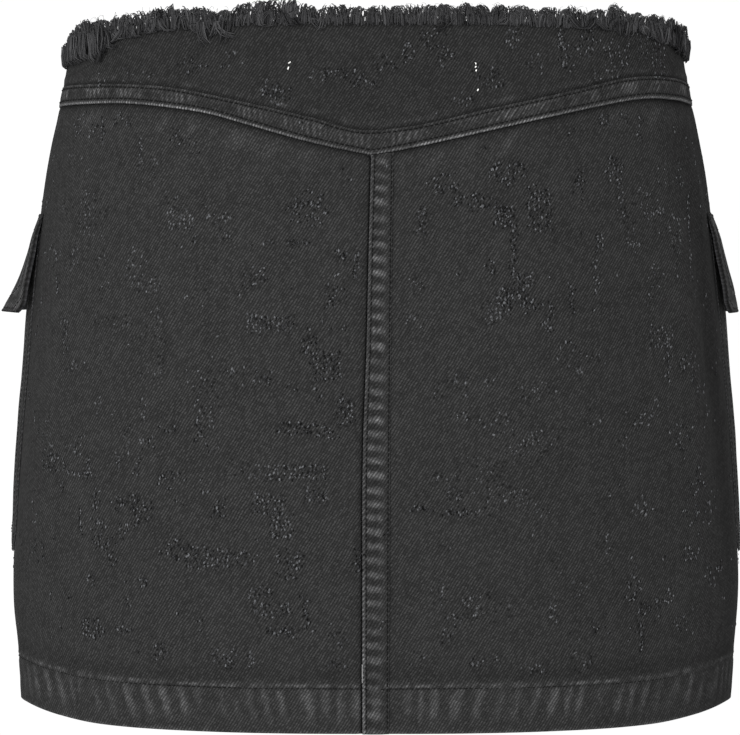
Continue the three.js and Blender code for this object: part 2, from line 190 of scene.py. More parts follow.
# The creases, the main ones first
FOLDS = table(
    Fold,
    (58, 190, -0.03, 6, 85, 2.2), (68, 180, -0.03, 5, 90, -2.0), (-62, 150, 0.03, 8, 80, 1.6),
    (-22, 262, 0.2, 16, 22, -1.4), (26, 268, -0.2, 16, 20, -1.6), (128, 283, 0.5, 14, 14, -1.8),
    (-130, 280, -0.5, 13, 13, -1.6), (163, 75, 0, 6, 80, 2.2), (-161, 65, 0, 6, 70, 2.0),
    (14, 120, 0.02, 7, 60, 0.7), (-33, 95, -0.02, 7, 70, 0.8), (36, 60, 0.03, 6, 55, 0.9),
    (-48, 225, -0.1, 9, 26, -0.7), (47, 232, 0.12, 8, 30, -0.8), (-12, 196, 0.1, 10, 24, -0.5),
    (76, 92, 0.02, 5, 50, 0.9), (-76, 70, -0.02, 5, 45, 0.8), (-70, 268, 0.3, 9, 14, -0.7),
    (70, 286, -0.3, 8, 12, -0.8), (112, 40, 0.02, 6, 45, 0.9), (-114, 44, -0.02, 6, 45, 0.9),
    (146, 170, 0.08, 8, 60, 0.9), (-144, 160, -0.08, 8, 60, 0.9), (170, 262, 0.3, 10, 12, -0.9),
    (-166, 250, -0.3, 10, 12, -0.8), (70, 240, -0.02, 4, 70, 1.0), (78, 236, -0.02, 4.5, 75, -1.3),
    (-76, 215, 0.02, 5, 60, -0.7), (-90, 60, 0, 16, 26, 1.0), (90, 60, 0, 16, 26, 1.0),
)

YOKE_SEAM = table(
    Edge,
    (-90, 308.2), (-58, 307.7), (-48, 307.2), (-38.5, 305.2), (-28, 301.2), (-19.5, 295.0), (-9.5, 286.8),
    (-1.5, 281.0), (-0.5, 280.4), (0.8, 281.2), (18, 293.0), (33, 301.8), (47, 308.2), (58, 310.4),
    (76, 309.6), (90, 309.2),
)
# The upper row of stitches of the yoke's felled seam
UPPER_ROW = table(
    Edge,
    (-90, 316.8), (-78, 316.6), (-58, 316.0), (-48, 315.2), (-35, 312.4), (-20, 304.4), (-9.6, 297.4),
    (-0.5, 290.8), (18.5, 302.2), (37, 312.8), (48, 318.2), (60, 320.0), (76, 319.0), (90, 318.2),
)
RAW_EDGE = table(
    Edge,
    (-180, 322), (-130, 328), (-90, 332), (-75, 336), (-53, 342), (-43, 345), (-21, 347.4), (0, 347),
    (21, 347.4), (55, 346), (76, 340), (90, 335), (130, 329), (180, 322),
)
# By the angle's size, whichever way it turns
HEM_RISE = table(
    Edge,
    (0, -0.9), (25, -1.3), (46, -1.3), (58, 0.3), (72, 2.2), (79, 2.1), (85, 1.2), (90, 0.8), (105, 1.0),
    (180, 0.5),
)
CENTRE_BACK = table(
    Across,
    (0, -6.8), (118, -6.8), (147, -6.3), (185, -4.8), (240, -3.6), (285, -2.4),
)
# The outer edge of the centre back's felled seam
CENTRE_BACK_EDGE = table(
    Across,
    (0, 6.2), (118, 6.6), (185, 7.2), (240, 7.8), (285, 8.6),
)
# How bright the worn lower edge of the yoke is
YOKE_EDGE_WEAR = table(
    Strength,
    (-90, 0.55), (-70, 0.75), (-45, 0.72), (-25, 0.85), (-12, 0.55), (-3, 0.3), (2, 0.45), (8, 1.0),
    (22, 0.95), (34, 0.6), (50, 0.5), (75, 0.6), (90, 0.5),
)
YOKE_PUCKER_WEAR = table(
    Strength,
    (-90, 0.7), (-50, 0.75), (-28, 0.5), (-12, 0.3), (0, 0.3), (10, 0.62), (30, 0.45), (60, 0.6), (90, 0.5),
)


def column_of(rows: Sequence[Any], name: str) -> Array:
    """One column of a table as numbers."""
    return np.array([getattr(row, name) for row in rows], float)


def broken_line(rows: Sequence[Any], by: str, column: str) -> Reading:
    """Reads a table along straight lines between its rows.

    Args:
        rows: the table, in rising order of the column `by`.
        by: the column that is looked up.
        column: the column that is read.

    Returns:
        A function from places on `by` to values of `column`.
    """
    keys, values = column_of(rows, by), column_of(rows, column)
    return lambda at: np.interp(at, keys, values)


def smooth_line(rows: Sequence[Any], by: str, column: str) -> Reading:
    """Reads a table along a smooth cubic curve through its rows.

    Args:
        rows: the table, in rising order of the column `by`.
        by: the column that is looked up.
        column: the column that is read.

    Returns:
        A function from places on `by` to values of `column`.
    """
    keys, values = column_of(rows, by), column_of(rows, column)
    place = np.arange(len(keys))
    before, after = np.maximum(place - 1, 0), np.minimum(place + 1, len(keys) - 1)
    slopes = (values[after] - values[before]) / (keys[after] - keys[before])

    def read(at: Array) -> Array:
        """The curve's value at each place."""
        i = np.clip(np.searchsorted(keys, at, side="right") - 1, 0, len(keys) - 2)
        span = keys[i + 1] - keys[i]
        t = np.clip((at - keys[i]) / span, 0, 1)
        bend = span * t * (1 - t) * ((1 - t) * slopes[i] - t * slopes[i + 1])
        return values[i] + (values[i + 1] - values[i]) * t * t * (3 - 2 * t) + bend

    return read


def wrapped(angle: Array) -> Array:
    """Angles brought into -180 to 180 degrees."""
    return (np.asarray(angle, float) + 180) % 360 - 180


def signed_power(value: Array, power: float) -> Array:
    """A power that keeps each number's sign."""
    return np.sign(value) * np.abs(value) ** power


def smoothstep(value: Array, low: float, high: float) -> Array:
    """A smooth rise from 0 at `low` to 1 at `high`."""
    t = np.clip((np.asarray(value, float) - low) / (high - low), 0, 1)
    return t * t * (3 - 2 * t)


def bump_at(distance: Array, half: float) -> Array:
    """A soft bump of height 1 round distance 0, which has mostly gone at `half`."""
    return np.exp(-((np.asarray(distance, float) / half) ** 2))


def rolled(distance: Array, radius: float) -> Array:
    """How far a rolled edge falls back from its face, from the distance in from the edge."""
    short = radius - np.clip(distance, 0, radius)
    return radius - np.sqrt(np.maximum(radius**2 - short**2, 0))


def uneven(seed: int, across: Array, along: Array | float = 0.0) -> Array:
    """Smooth repeatable unevenness.

    Args:
        seed: picks the pattern.
        across: places, with about one bump to a unit.
        along: places the other way, in the same units.

    Returns:
        Numbers from -1 to 1.
    """
    size = 64
    table = np.random.default_rng(seed).uniform(-1, 1, (size, size))
    x, y = np.broadcast_arrays(np.asarray(across, float), np.asarray(along, float))
    i, j = np.floor(x).astype(int), np.floor(y).astype(int)
    s, t = smoothstep(x - i, 0, 1), smoothstep(y - j, 0, 1)
    low = table[i % size, j % size] * (1 - s) + table[(i + 1) % size, j % size] * s
    high = table[i % size, (j + 1) % size] * (1 - s) + table[(i + 1) % size, (j + 1) % size] * s
    return low * (1 - t) + high * t


def shares_along(length: float, step: float, fine: float = 0.0, fine_step: float = 1.0) -> Array:
    """Shares from 0 to 1 along a length, close together beside both ends.

    Args:
        length: the whole length.
        step: the widest step.
        fine: the length of a stretch from the start that has finer steps.
        fine_step: the step in that stretch.

    Returns:
        The shares in rising order.
    """
    rim = np.array([0.0, 0.25, 0.6, 1.1, 1.8])
    first, last = rim[-1], length - rim[-1]
    turn = min(max(first, fine), last)
    lower = np.linspace(first, turn, max(2, round((turn - first) / fine_step) + 1))[1:-1]
    upper = np.linspace(turn, last, max(2, round((last - turn) / step) + 1))[1:-1]
    middle = [turn] if turn > first + 1e-6 else []
    places = np.concatenate([rim, lower, middle, upper, length - rim[::-1]])
    return places / length


@dataclass
class WornForm:
    """The outer face of the cloth as it is worn: level sections of a superellipse, and soft folds."""

    roundness: float = 2.2
    arc_step: float = 10.0
    half_width: Reading = field(init=False)
    back: Reading = field(init=False)
    front: Reading = field(init=False)
    arcs: Array = field(init=False)

    def __post_init__(self) -> None:
        """Reads the sections and measures the way round the body at each height."""
        self.half_width = smooth_line(SECTIONS, "height", "half_width")
        self.back = smooth_line(SECTIONS, "height", "back")
        self.front = smooth_line(SECTIONS, "height", "front")
        angles = np.arange(-180.0, 271.0)
        heights = np.arange(0.0, 371.0, self.arc_step)
        grid = self.section(angles[None, :], heights[:, None])
        steps = np.linalg.norm(np.diff(grid, axis=1), axis=2)
        lengths = np.pad(np.cumsum(steps, axis=1), ((0, 0), (1, 0)))
        self.arcs = lengths - lengths[:, 180:181]

    def section(self, angle: Array, height: Array) -> Array:
        """Points of the level sections, without the folds."""
        turn = np.radians(angle)
        behind = np.cos(turn)
        depth = np.where(behind > 0, self.back(height), self.front(height))
        x = self.half_width(height) * signed_power(np.sin(turn), 2 / self.roundness)
        y = -depth * signed_power(behind, 2 / self.roundness)
        return np.stack(np.broadcast_arrays(x, y, np.asarray(height, float)), axis=-1)

    def outward(self, angle: Array, height: Array) -> Array:
        """The directions straight out of the cloth."""
        angle, height = np.asarray(angle, float), np.asarray(height, float)
        around = self.section(angle + 0.5, height) - self.section(angle - 0.5, height)
        up = self.section(angle, height + 1) - self.section(angle, height - 1)
        out = np.cross(around, up)
        return out / np.linalg.norm(out, axis=-1, keepdims=True)

    def fold(self, angle: Array, height: Array) -> Array:
        """How far the soft folds move the cloth out."""
        total = np.zeros(np.broadcast(angle, height).shape)
        for fold in FOLDS:
            turn = wrapped(angle - fold.angle - fold.lean * (height - fold.height)) / fold.half_turn
            rise = (height - fold.height) / fold.half_height
            total = total + fold.depth * np.exp(-turn * turn - rise * rise)
        return total

    def point(self, angle: Array, height: Array, out: Array | float) -> Array:
        """Points `out` mm outside the cloth's outer face."""
        distance = out + self.fold(angle, height)
        return self.section(angle, height) + self.outward(angle, height) * distance[..., None]

    def per_degree(self, angle: Array, height: Array) -> Array:
        """The way round the body that one degree covers."""
        angle = np.asarray(angle, float)
        return np.linalg.norm(self.section(angle + 0.5, height) - self.section(angle - 0.5, height), axis=-1)

    def arc(self, angle: Array, height: Array) -> Array:
        """The way round the body from the centre back, at each place's own height."""
        row = np.clip(np.asarray(height, float) / self.arc_step, 0, self.arcs.shape[0] - 1.001)
        column = np.clip(np.asarray(angle, float) + 180, 0, self.arcs.shape[1] - 1.001)
        i, j = row.astype(int), column.astype(int)
        s, t = row - i, column - j
        low = self.arcs[i, j] * (1 - t) + self.arcs[i, j + 1] * t
        high = self.arcs[i + 1, j] * (1 - t) + self.arcs[i + 1, j + 1] * t
        return low * (1 - s) + high * s

    def angle_across(self, across: Array, height: Array, front: bool = False) -> Array:
        """The angle of a place so far to the wearer's right of the centre back, or of the centre front."""
        share = signed_power(across / self.half_width(height), self.roundness / 2)
        turn = np.degrees(np.arcsin(np.clip(share, -1, 1)))
        return 180 - turn if front else turn

    def angles_at(self, arcs: Array, height: float) -> Array:
        """The angles that lie so far round the body from the centre back, at one height."""
        angles = np.arange(-180.0, 270.0, 0.5)
        return np.interp(arcs, self.arc(angles, np.full_like(angles, height)), angles)


@dataclass
class Cut:
    """The seams and edges of the pieces, as heights by angle and angles by height."""

    form: WornForm
    yoke_seam: Reading = field(default_factory=lambda: smooth_line(YOKE_SEAM, "angle", "height"))
    upper_row: Reading = field(default_factory=lambda: smooth_line(UPPER_ROW, "angle", "height"))

    def raw_edge(self, angle: Array) -> Array:
        """The height of the raw waist edge."""
        return broken_line(RAW_EDGE, "angle", "height")(wrapped(angle))

    def hem(self, angle: Array) -> Array:
        """The height of the hem's folded edge."""
        return smooth_line(HEM_RISE, "angle", "height")(np.abs(wrapped(angle)))

    def centre_back(self, height: Array) -> Array:
        """The angle of the centre back's seam line."""
        return self.form.angle_across(broken_line(CENTRE_BACK, "height", "across")(height), height)

    def centre_back_edge(self, height: Array) -> Array:
        """The angle of the centre back fell's outer edge."""
        return self.form.angle_across(broken_line(CENTRE_BACK_EDGE, "height", "across")(height), height)

    def side(self, angle: float) -> Reading:
        """A seam line that keeps one angle."""
        return lambda height: np.full_like(np.asarray(height, float), angle)


def finished(piece: Object, slot: Slot, *nodes: str) -> Object:
    """Lets a piece ride on the part and stand for its nodes.

    Args:
        piece: the piece, with its final mesh.
        slot: the record's slot; not used.
        nodes: the nodes that it stands for.

    Returns:
        The piece.
    """
    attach(piece, BODY)
    if nodes:
        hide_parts(*nodes)
    LOG.info("%s: %d faces", piece.name, len(piece.data.polygons))
    return piece


def new_object(name: str, mesh: Mesh) -> Object:
    """An object at the origin that shows a mesh."""
    piece = bpy.data.objects.new(name, mesh)
    bpy.context.scene.collection.objects.link(piece)
    return piece


def in_metres(points: Array) -> Array:
    """Points in millimetres above the hem, brought into the frame."""
    return (points - np.array([0, 0, WAIST_HEIGHT])) * MM


def mesh_of(name: str, points: Array, faces: Array, smooth_to: float = 50.0) -> Mesh:
    """A mesh of four-sided faces.

    Args:
        name: the mesh's name.
        points: its points in millimetres above the hem, one to a row.
        faces: the indices of each face's four corners, anticlockwise from outside.
        smooth_to: the angle in degrees past which an edge between two faces stays sharp.

    Returns:
        The mesh, in metres in the frame.
    """
    mesh = bpy.data.meshes.new(name)
    mesh.vertices.add(len(points))
    mesh.vertices.foreach_set("co", in_metres(points).astype(np.float32).ravel())
    mesh.loops.add(faces.size)
    mesh.loops.foreach_set("vertex_index", faces.astype(np.int32).ravel())
    mesh.polygons.add(len(faces))
    mesh.polygons.foreach_set("loop_start", np.arange(0, faces.size, 4, dtype=np.int32))
    mesh.update(calc_edges=True)
    mesh.shade_smooth()
    mesh.set_sharp_from_angle(angle=math.radians(smooth_to))
    return mesh


def store(mesh: Mesh, name: str, values: Array) -> None:
    """Stores numbers or vectors on a mesh's points under a name.

    Args:
        mesh: the mesh.
        name: the attribute's name.
        values: one number or one vector to a point.
    """
    if values.ndim > 1:
        layer = mesh.attributes.new(name, "FLOAT_VECTOR", "POINT")
        layer.data.foreach_set("vector", values.astype(np.float32).ravel())
    else:
        layer = mesh.attributes.new(name, "FLOAT", "POINT")
        layer.data.foreach_set("value", values.astype(np.float32))


@dataclass
class Sheet:
    """A shell of cloth on a grid of places: columns round the body, rows upwards."""

    name: str
    angle: Array
    height: Array
    outer: Array
    inner: Array
    wear: Array
    painted_shade: Array

    def faces(self) -> Array:
        """The corners of the shell's faces: outside, inside and round the rim."""
        columns, rows = self.angle.shape
        out = np.arange(columns * rows).reshape(columns, rows)
        within = out + columns * rows

        def quads(a: Array, b: Array, c: Array, d: Array) -> Array:
            """Faces with their corners in these four orders."""
            return np.stack([a.ravel(), b.ravel(), c.ravel(), d.ravel()], axis=1)

        return np.concatenate(
            [
                quads(out[:-1, :-1], out[1:, :-1], out[1:, 1:], out[:-1, 1:]),
                quads(within[:-1, :-1], within[:-1, 1:], within[1:, 1:], within[1:, :-1]),
                quads(out[1:, 0], out[:-1, 0], within[:-1, 0], within[1:, 0]),
                quads(out[:-1, -1], out[1:, -1], within[1:, -1], within[:-1, -1]),
                quads(out[-1, 1:], out[-1, :-1], within[-1, :-1], within[-1, 1:]),
                quads(out[0, :-1], out[0, 1:], within[0, 1:], within[0, :-1]),
            ]
        )

    def build(self, form: WornForm, material: Material, nicks: Array) -> Object:
        """Makes the shell, with a cloth UV map in metres and what its finish reads.

        Args:
            form: the worn form that it follows.
            material: its finish.
            nicks: how thickly nicks lie at each place of the grid.

        Returns:
            The shell's object.
        """
        outside = form.point(self.angle, self.height, self.outer)
        inside = form.point(self.angle, self.height, self.inner)
        points = np.concatenate([outside.reshape(-1, 3), inside.reshape(-1, 3)])
        faces = self.faces()
        mesh = mesh_of(self.name, points, faces)
        rise = np.linalg.norm(np.diff(form.section(self.angle, self.height), axis=1), axis=2)
        along = self.height[:, :1] + np.pad(np.cumsum(rise, axis=1), ((0, 0), (1, 0)))
        places = np.stack([form.arc(self.angle, self.height), along], axis=-1).reshape(-1, 2) * MM
        places = np.concatenate([places, places])
        layer = mesh.uv_layers.new(name=UV_MAP)
        layer.data.foreach_set("uv", places[faces.ravel()].astype(np.float32).ravel())
        plain = np.zeros(self.angle.size)
        for name, values in (("wear", self.wear), ("painted_shade", self.painted_shade), ("nicks", nicks)):
            full = np.broadcast_to(values, self.angle.shape).ravel()
            store(mesh, name, np.concatenate([full, plain]))
        store(mesh, "inside", np.concatenate([plain, plain + 1]))
        mesh.materials.append(material)
        return new_object(self.name, mesh)

    def flat_size(self, form: WornForm) -> tuple[tuple[float, float], float]:
        """The cut's width and length, and its area, in metres."""
        points = form.section(self.angle, self.height) * MM
        around = np.linalg.norm(np.diff(points, axis=0), axis=2)
        upward = np.linalg.norm(np.diff(points, axis=1), axis=2)
        width, length = float(around.sum(axis=0).max()), float(upward.sum(axis=1).max())
        cells = (around[:, :-1] + around[:, 1:]) * (upward[:-1] + upward[1:]) / 4
        return (round(width, 4), round(length, 4)), round(min(float(cells.sum()), width * length), 5)


GRID, DOWN, ROUND = Layout.GRID, Layout.CHAIN_DOWN, Layout.CHAIN_ROUND

# Nicked patches of the back, which are scattered where no layout is given
LEFT_PATCHES = table(
    Patch,
    (-142, 253, 13, 24, 34, GRID), (-155, 256, 9, 16, 14), (-151, 231, 6, 14, 9, DOWN),
    (-165, 231, 13, 11, 10), (-136, 230, 7, 9, 11), (-119, 229, 13, 16, 12), (-113, 219, 15, 12, 18, GRID),
    (-96, 250, 14, 12, 20, GRID), (-77, 250, 12, 7, 8), (-74, 241, 6, 6, 4), (-33, 255, 19, 18, 26),
    (-38, 238, 9, 4, 4, ROUND), (-53, 238, 5, 5, 3), (-9, 227, 6, 12, 7, DOWN), (-17, 232, 6, 6, 4),
    (-52, 199, 23, 10, 28, GRID), (-127, 199, 15, 8, 11), (-155, 191, 6, 18, 9, DOWN),
    (-106, 188, 6, 16, 8, DOWN), (-110, 176, 12, 8, 14, GRID), (-150, 176, 14, 7, 8), (-86, 171, 12, 12, 8),
    (-82, 157, 18, 19, 18), (-63, 173, 28, 9, 16), (-32, 188, 9, 10, 8), (-24, 178, 15, 14, 20, GRID),
    (-15, 158, 8, 15, 14, GRID), (-28, 147, 12, 7, 8), (-41, 148, 14, 7, 9), (-137, 157, 5, 8, 4, DOWN),
    (-122, 142, 5, 15, 6, DOWN), (-165, 142, 9, 19, 12), (-150, 139, 14, 13, 12),
    (-161, 128, 12, 10, 14, GRID), (-147, 123, 14, 5, 8, ROUND), (-112, 140, 7, 8, 5),
    (-86, 147, 7, 14, 7, DOWN), (-48, 128, 48, 10, 40, GRID), (-52, 112, 17, 12, 18, GRID),
    (-46, 101, 11, 14, 16, GRID), (-29, 116, 12, 8, 12, GRID), (-138, 111, 5, 10, 5, DOWN),
    (-124, 109, 12, 8, 7), (-138, 96, 9, 14, 9), (-171, 83, 9, 14, 7), (-134, 90, 12, 7, 7),
    (-131, 82, 6, 6, 4), (-98, 88, 15, 9, 10), (-82, 85, 22, 12, 24, GRID), (-63, 85, 14, 7, 8),
    (-43, 82, 14, 15, 14), (-141, 71, 5, 5, 3), (-114, 70, 6, 6, 4), (-58, 67, 15, 7, 9),
    (-53, 60, 24, 9, 14), (-34, 58, 5, 14, 7, DOWN), (-46, 49, 14, 6, 9, ROUND),
    (-141, 47, 12, 9, 14, GRID), (-124, 47, 9, 5, 6, ROUND), (-106, 38, 10, 9, 8), (-73, 36, 15, 10, 12),
    (-61, 35, 5, 7, 5, DOWN), (-17, 46, 7, 9, 4), (-19, 33, 9, 6, 5), (-9, 84, 6, 12, 6, DOWN),
    (-148, 297, 13, 14, 12), (-137, 294, 5, 12, 7, DOWN), (-117, 282, 4, 16, 8, DOWN), (-144, 272, 5, 6, 4),
    (-120, 264, 3, 6, 3, DOWN), (-134, 254, 6, 8, 5), (-160, 217, 3, 8, 4, DOWN), (-134, 213, 6, 11, 8),
    (-107, 200, 6, 12, 7, DOWN), (-139, 199, 4, 7, 5, DOWN), (-138, 187, 4, 10, 5, DOWN),
    (-114, 156, 4, 10, 5, DOWN), (-127, 131, 4, 6, 4, DOWN), (-117, 128, 4, 9, 4, DOWN),
    (-143, 127, 4, 10, 6, DOWN), (-156, 116, 3, 5, 3, DOWN), (-117, 106, 4, 14, 7, DOWN),
    (-111, 108, 6, 12, 6), (-147, 97, 4, 8, 4, DOWN), (-124, 96, 5, 8, 5), (-126, 298, 10, 8, 5),
    (-96, 291, 10, 12, 6), (-112, 272, 14, 14, 8), (-84, 216, 12, 20, 8), (-60, 222, 14, 10, 6),
    (-22, 212, 12, 14, 7), (-100, 122, 12, 12, 6), (-76, 108, 8, 12, 6),
)
RIGHT_PATCHES = table(
    Patch,
    (130, 258, 5, 10, 6), (158, 250, 4, 22, 9, DOWN), (153, 272, 5, 12, 6), (158, 228, 4, 16, 6, DOWN),
    (148, 224, 5, 8, 4), (158, 213, 4, 8, 4), (144, 176, 5, 14, 6, DOWN), (162, 164, 7, 10, 5),
    (139, 156, 12, 8, 8), (131, 150, 8, 8, 6), (157, 104, 10, 12, 7), (167, 101, 7, 12, 5),
    (174, 182, 5, 22, 6, DOWN), (166, 150, 6, 14, 5), (22, 248, 8, 14, 9, DOWN), (33, 268, 16, 12, 12),
    (46, 258, 24, 8, 14), (62, 252, 10, 12, 18, GRID), (65, 272, 18, 12, 20), (80, 255, 12, 24, 28, GRID),
    (100, 267, 6, 8, 5, DOWN), (119, 275, 8, 14, 12, GRID), (121, 261, 5, 14, 9, DOWN),
    (125, 247, 8, 14, 11), (127, 237, 8, 8, 8), (110, 238, 5, 8, 5, GRID), (134, 259, 12, 14, 12),
    (144, 271, 9, 12, 9), (141, 249, 14, 14, 16), (149, 242, 7, 20, 16, GRID), (132, 294, 6, 12, 6, DOWN),
    (119, 299, 18, 6, 9), (55, 225, 7, 7, 4), (67, 235, 5, 22, 10, DOWN), (71, 221, 12, 9, 12, GRID),
    (66, 212, 14, 9, 16, GRID), (59, 207, 12, 9, 14, GRID), (56, 202, 9, 7, 8), (74, 207, 9, 7, 6),
    (83, 202, 7, 14, 8), (21, 216, 9, 6, 5), (16, 200, 7, 7, 4), (95, 211, 5, 14, 6, DOWN),
    (108, 221, 5, 16, 7, DOWN), (139, 221, 7, 14, 8), (136, 209, 6, 8, 5), (141, 192, 12, 14, 18, GRID),
    (105, 178, 14, 14, 12), (155, 178, 9, 18, 11), (76, 166, 18, 9, 13), (45, 171, 24, 7, 13),
    (28, 166, 9, 5, 5), (57, 150, 15, 12, 12), (40, 154, 7, 7, 4), (77, 142, 24, 14, 30, GRID),
    (71, 135, 14, 9, 14, GRID), (52, 128, 19, 14, 22, GRID), (33, 126, 12, 8, 8), (38, 117, 8, 8, 5),
    (59, 116, 14, 12, 14), (71, 114, 10, 9, 10, GRID), (21, 109, 9, 5, 5, ROUND),
    (47, 107, 28, 7, 16, ROUND), (81, 107, 7, 7, 5), (119, 140, 9, 14, 9), (150, 141, 10, 12, 11),
    (116, 117, 7, 9, 5), (131, 108, 12, 10, 11), (160, 119, 9, 14, 9), (113, 90, 5, 9, 6, DOWN),
    (88, 81, 9, 9, 5), (50, 64, 14, 14, 13), (57, 59, 22, 7, 13), (86, 59, 6, 12, 7, DOWN),
    (98, 69, 9, 9, 5), (126, 68, 9, 12, 8), (134, 59, 12, 9, 9), (144, 62, 9, 7, 6), (157, 83, 9, 9, 8),
    (169, 69, 9, 14, 8), (31, 68, 5, 14, 6, DOWN), (38, 56, 7, 7, 4), (33, 47, 8, 7, 5), (52, 35, 15, 5, 7),
    (76, 30, 12, 5, 6), (100, 33, 12, 9, 9), (131, 44, 6, 14, 7, DOWN), (152, 47, 9, 9, 6),
    (160, 221, 8, 18, 8), (170, 206, 7, 14, 7), (94, 126, 10, 14, 7), (104, 152, 12, 12, 7),
    (92, 184, 10, 12, 6),
)
YOKE_PATCHES = table(
    Patch,
    (-48, 310, 14, 9, 14), (-53, 315, 9, 7, 6), (-6, 316, 12, 8, 10, ROUND), (-17, 321, 14, 6, 7, ROUND),
    (-29, 318, 8, 8, 5), (-120, 322, 18, 9, 9), (-92, 326, 16, 9, 9), (-72, 328, 12, 9, 5),
    (-140, 320, 10, 8, 5), (16, 331, 8, 12, 7), (28, 338, 12, 10, 9), (34, 329, 8, 10, 6),
    (43, 308, 10, 7, 6), (54, 321, 12, 10, 8), (69, 339, 12, 12, 11), (60, 317, 8, 8, 5),
    (91, 340, 6, 10, 8, DOWN), (95, 329, 8, 13, 9), (106, 337, 12, 14, 15), (121, 333, 14, 14, 17),
    (134, 338, 8, 16, 13, GRID), (143, 330, 9, 20, 19, GRID), (114, 322, 14, 8, 9), (80, 326, 10, 10, 7),
    (4, 327, 10, 10, 5),
)


def linear(code: str) -> tuple[float, float, float, float]:
    """An sRGB colour such as "#363637" as linear light with full alpha."""
    parts = [int(code[i : i + 2], 16) / 255 for i in (1, 3, 5)]
    light = [p / 12.92 if p <= 0.04045 else ((p + 0.055) / 1.055) ** 2.4 for p in parts]
    return (light[0], light[1], light[2], 1.0)


@dataclass
class Graph:
    """A tree of nodes that is put together one node at a time."""

    tree: NodeTree

    def add(self, kind: str, inputs: dict[str | int, Any] | None = None, **settings: Any) -> Node:
        """Adds a node.

        Args:
            kind: the node's type.
            inputs: for each input, by its identifier or its place, the value, the socket or the node that
                feeds it. A node feeds it from the first output that is in use.
            settings: the node's own properties.

        Returns:
            The node.
        """
        node = self.tree.nodes.new(kind)
        for name, value in settings.items():
            setattr(node, name, value)
        known = {socket.identifier: socket for socket in node.inputs}
        for key, value in (inputs or {}).items():
            socket = node.inputs[key] if isinstance(key, int) else known[key]
            if isinstance(value, Node):
                value = next(output for output in value.outputs if output.enabled)
            if isinstance(value, NodeSocket):
                self.tree.links.new(value, socket)
            else:
                socket.default_value = value
        return node

    def maths(self, operation: str, *values: Any, clamp: bool = False) -> Node:
        """Adds a sum on numbers, which can be held between 0 and 1."""
        return self.add("ShaderNodeMath", dict(enumerate(values)), operation=operation, use_clamp=clamp)

    def attribute(self, name: str) -> NodeSocket:
        """Adds a node that reads an attribute of the mesh, and gives its number."""
        return self.add("ShaderNodeAttribute", attribute_name=name).outputs["Fac"]

    def noise(self, place: Any, scale: float, detail: float, **values: float) -> Node:
        """Adds soft noise on places."""
        return self.add("ShaderNodeTexNoise", {"Vector": place, "Scale": scale, "Detail": detail, **values})

    def between(self, factor: Any, low: Any, high: Any) -> NodeSocket:
        """Adds a mix of two colours and gives its result."""
        inputs = {"Factor_Float": factor, "A_Color": low, "B_Color": high}
        node = self.add("ShaderNodeMix", inputs, data_type="RGBA")
        return next(output for output in node.outputs if output.identifier == "Result_Color")


def surface_of(name: str) -> tuple[Material, Graph, Node]:
    """A new material, its graph and its main shader."""
    material = bpy.data.materials.new(name)
    material.use_nodes = True
    shader = material.node_tree.nodes["Principled BSDF"]
    return material, Graph(material.node_tree), shader


def set_sockets(shader: Node, values: dict[str, Any]) -> None:
    """Sets the constant values of a shader's sockets."""
    for name, value in values.items():
        shader.inputs[name].default_value = value


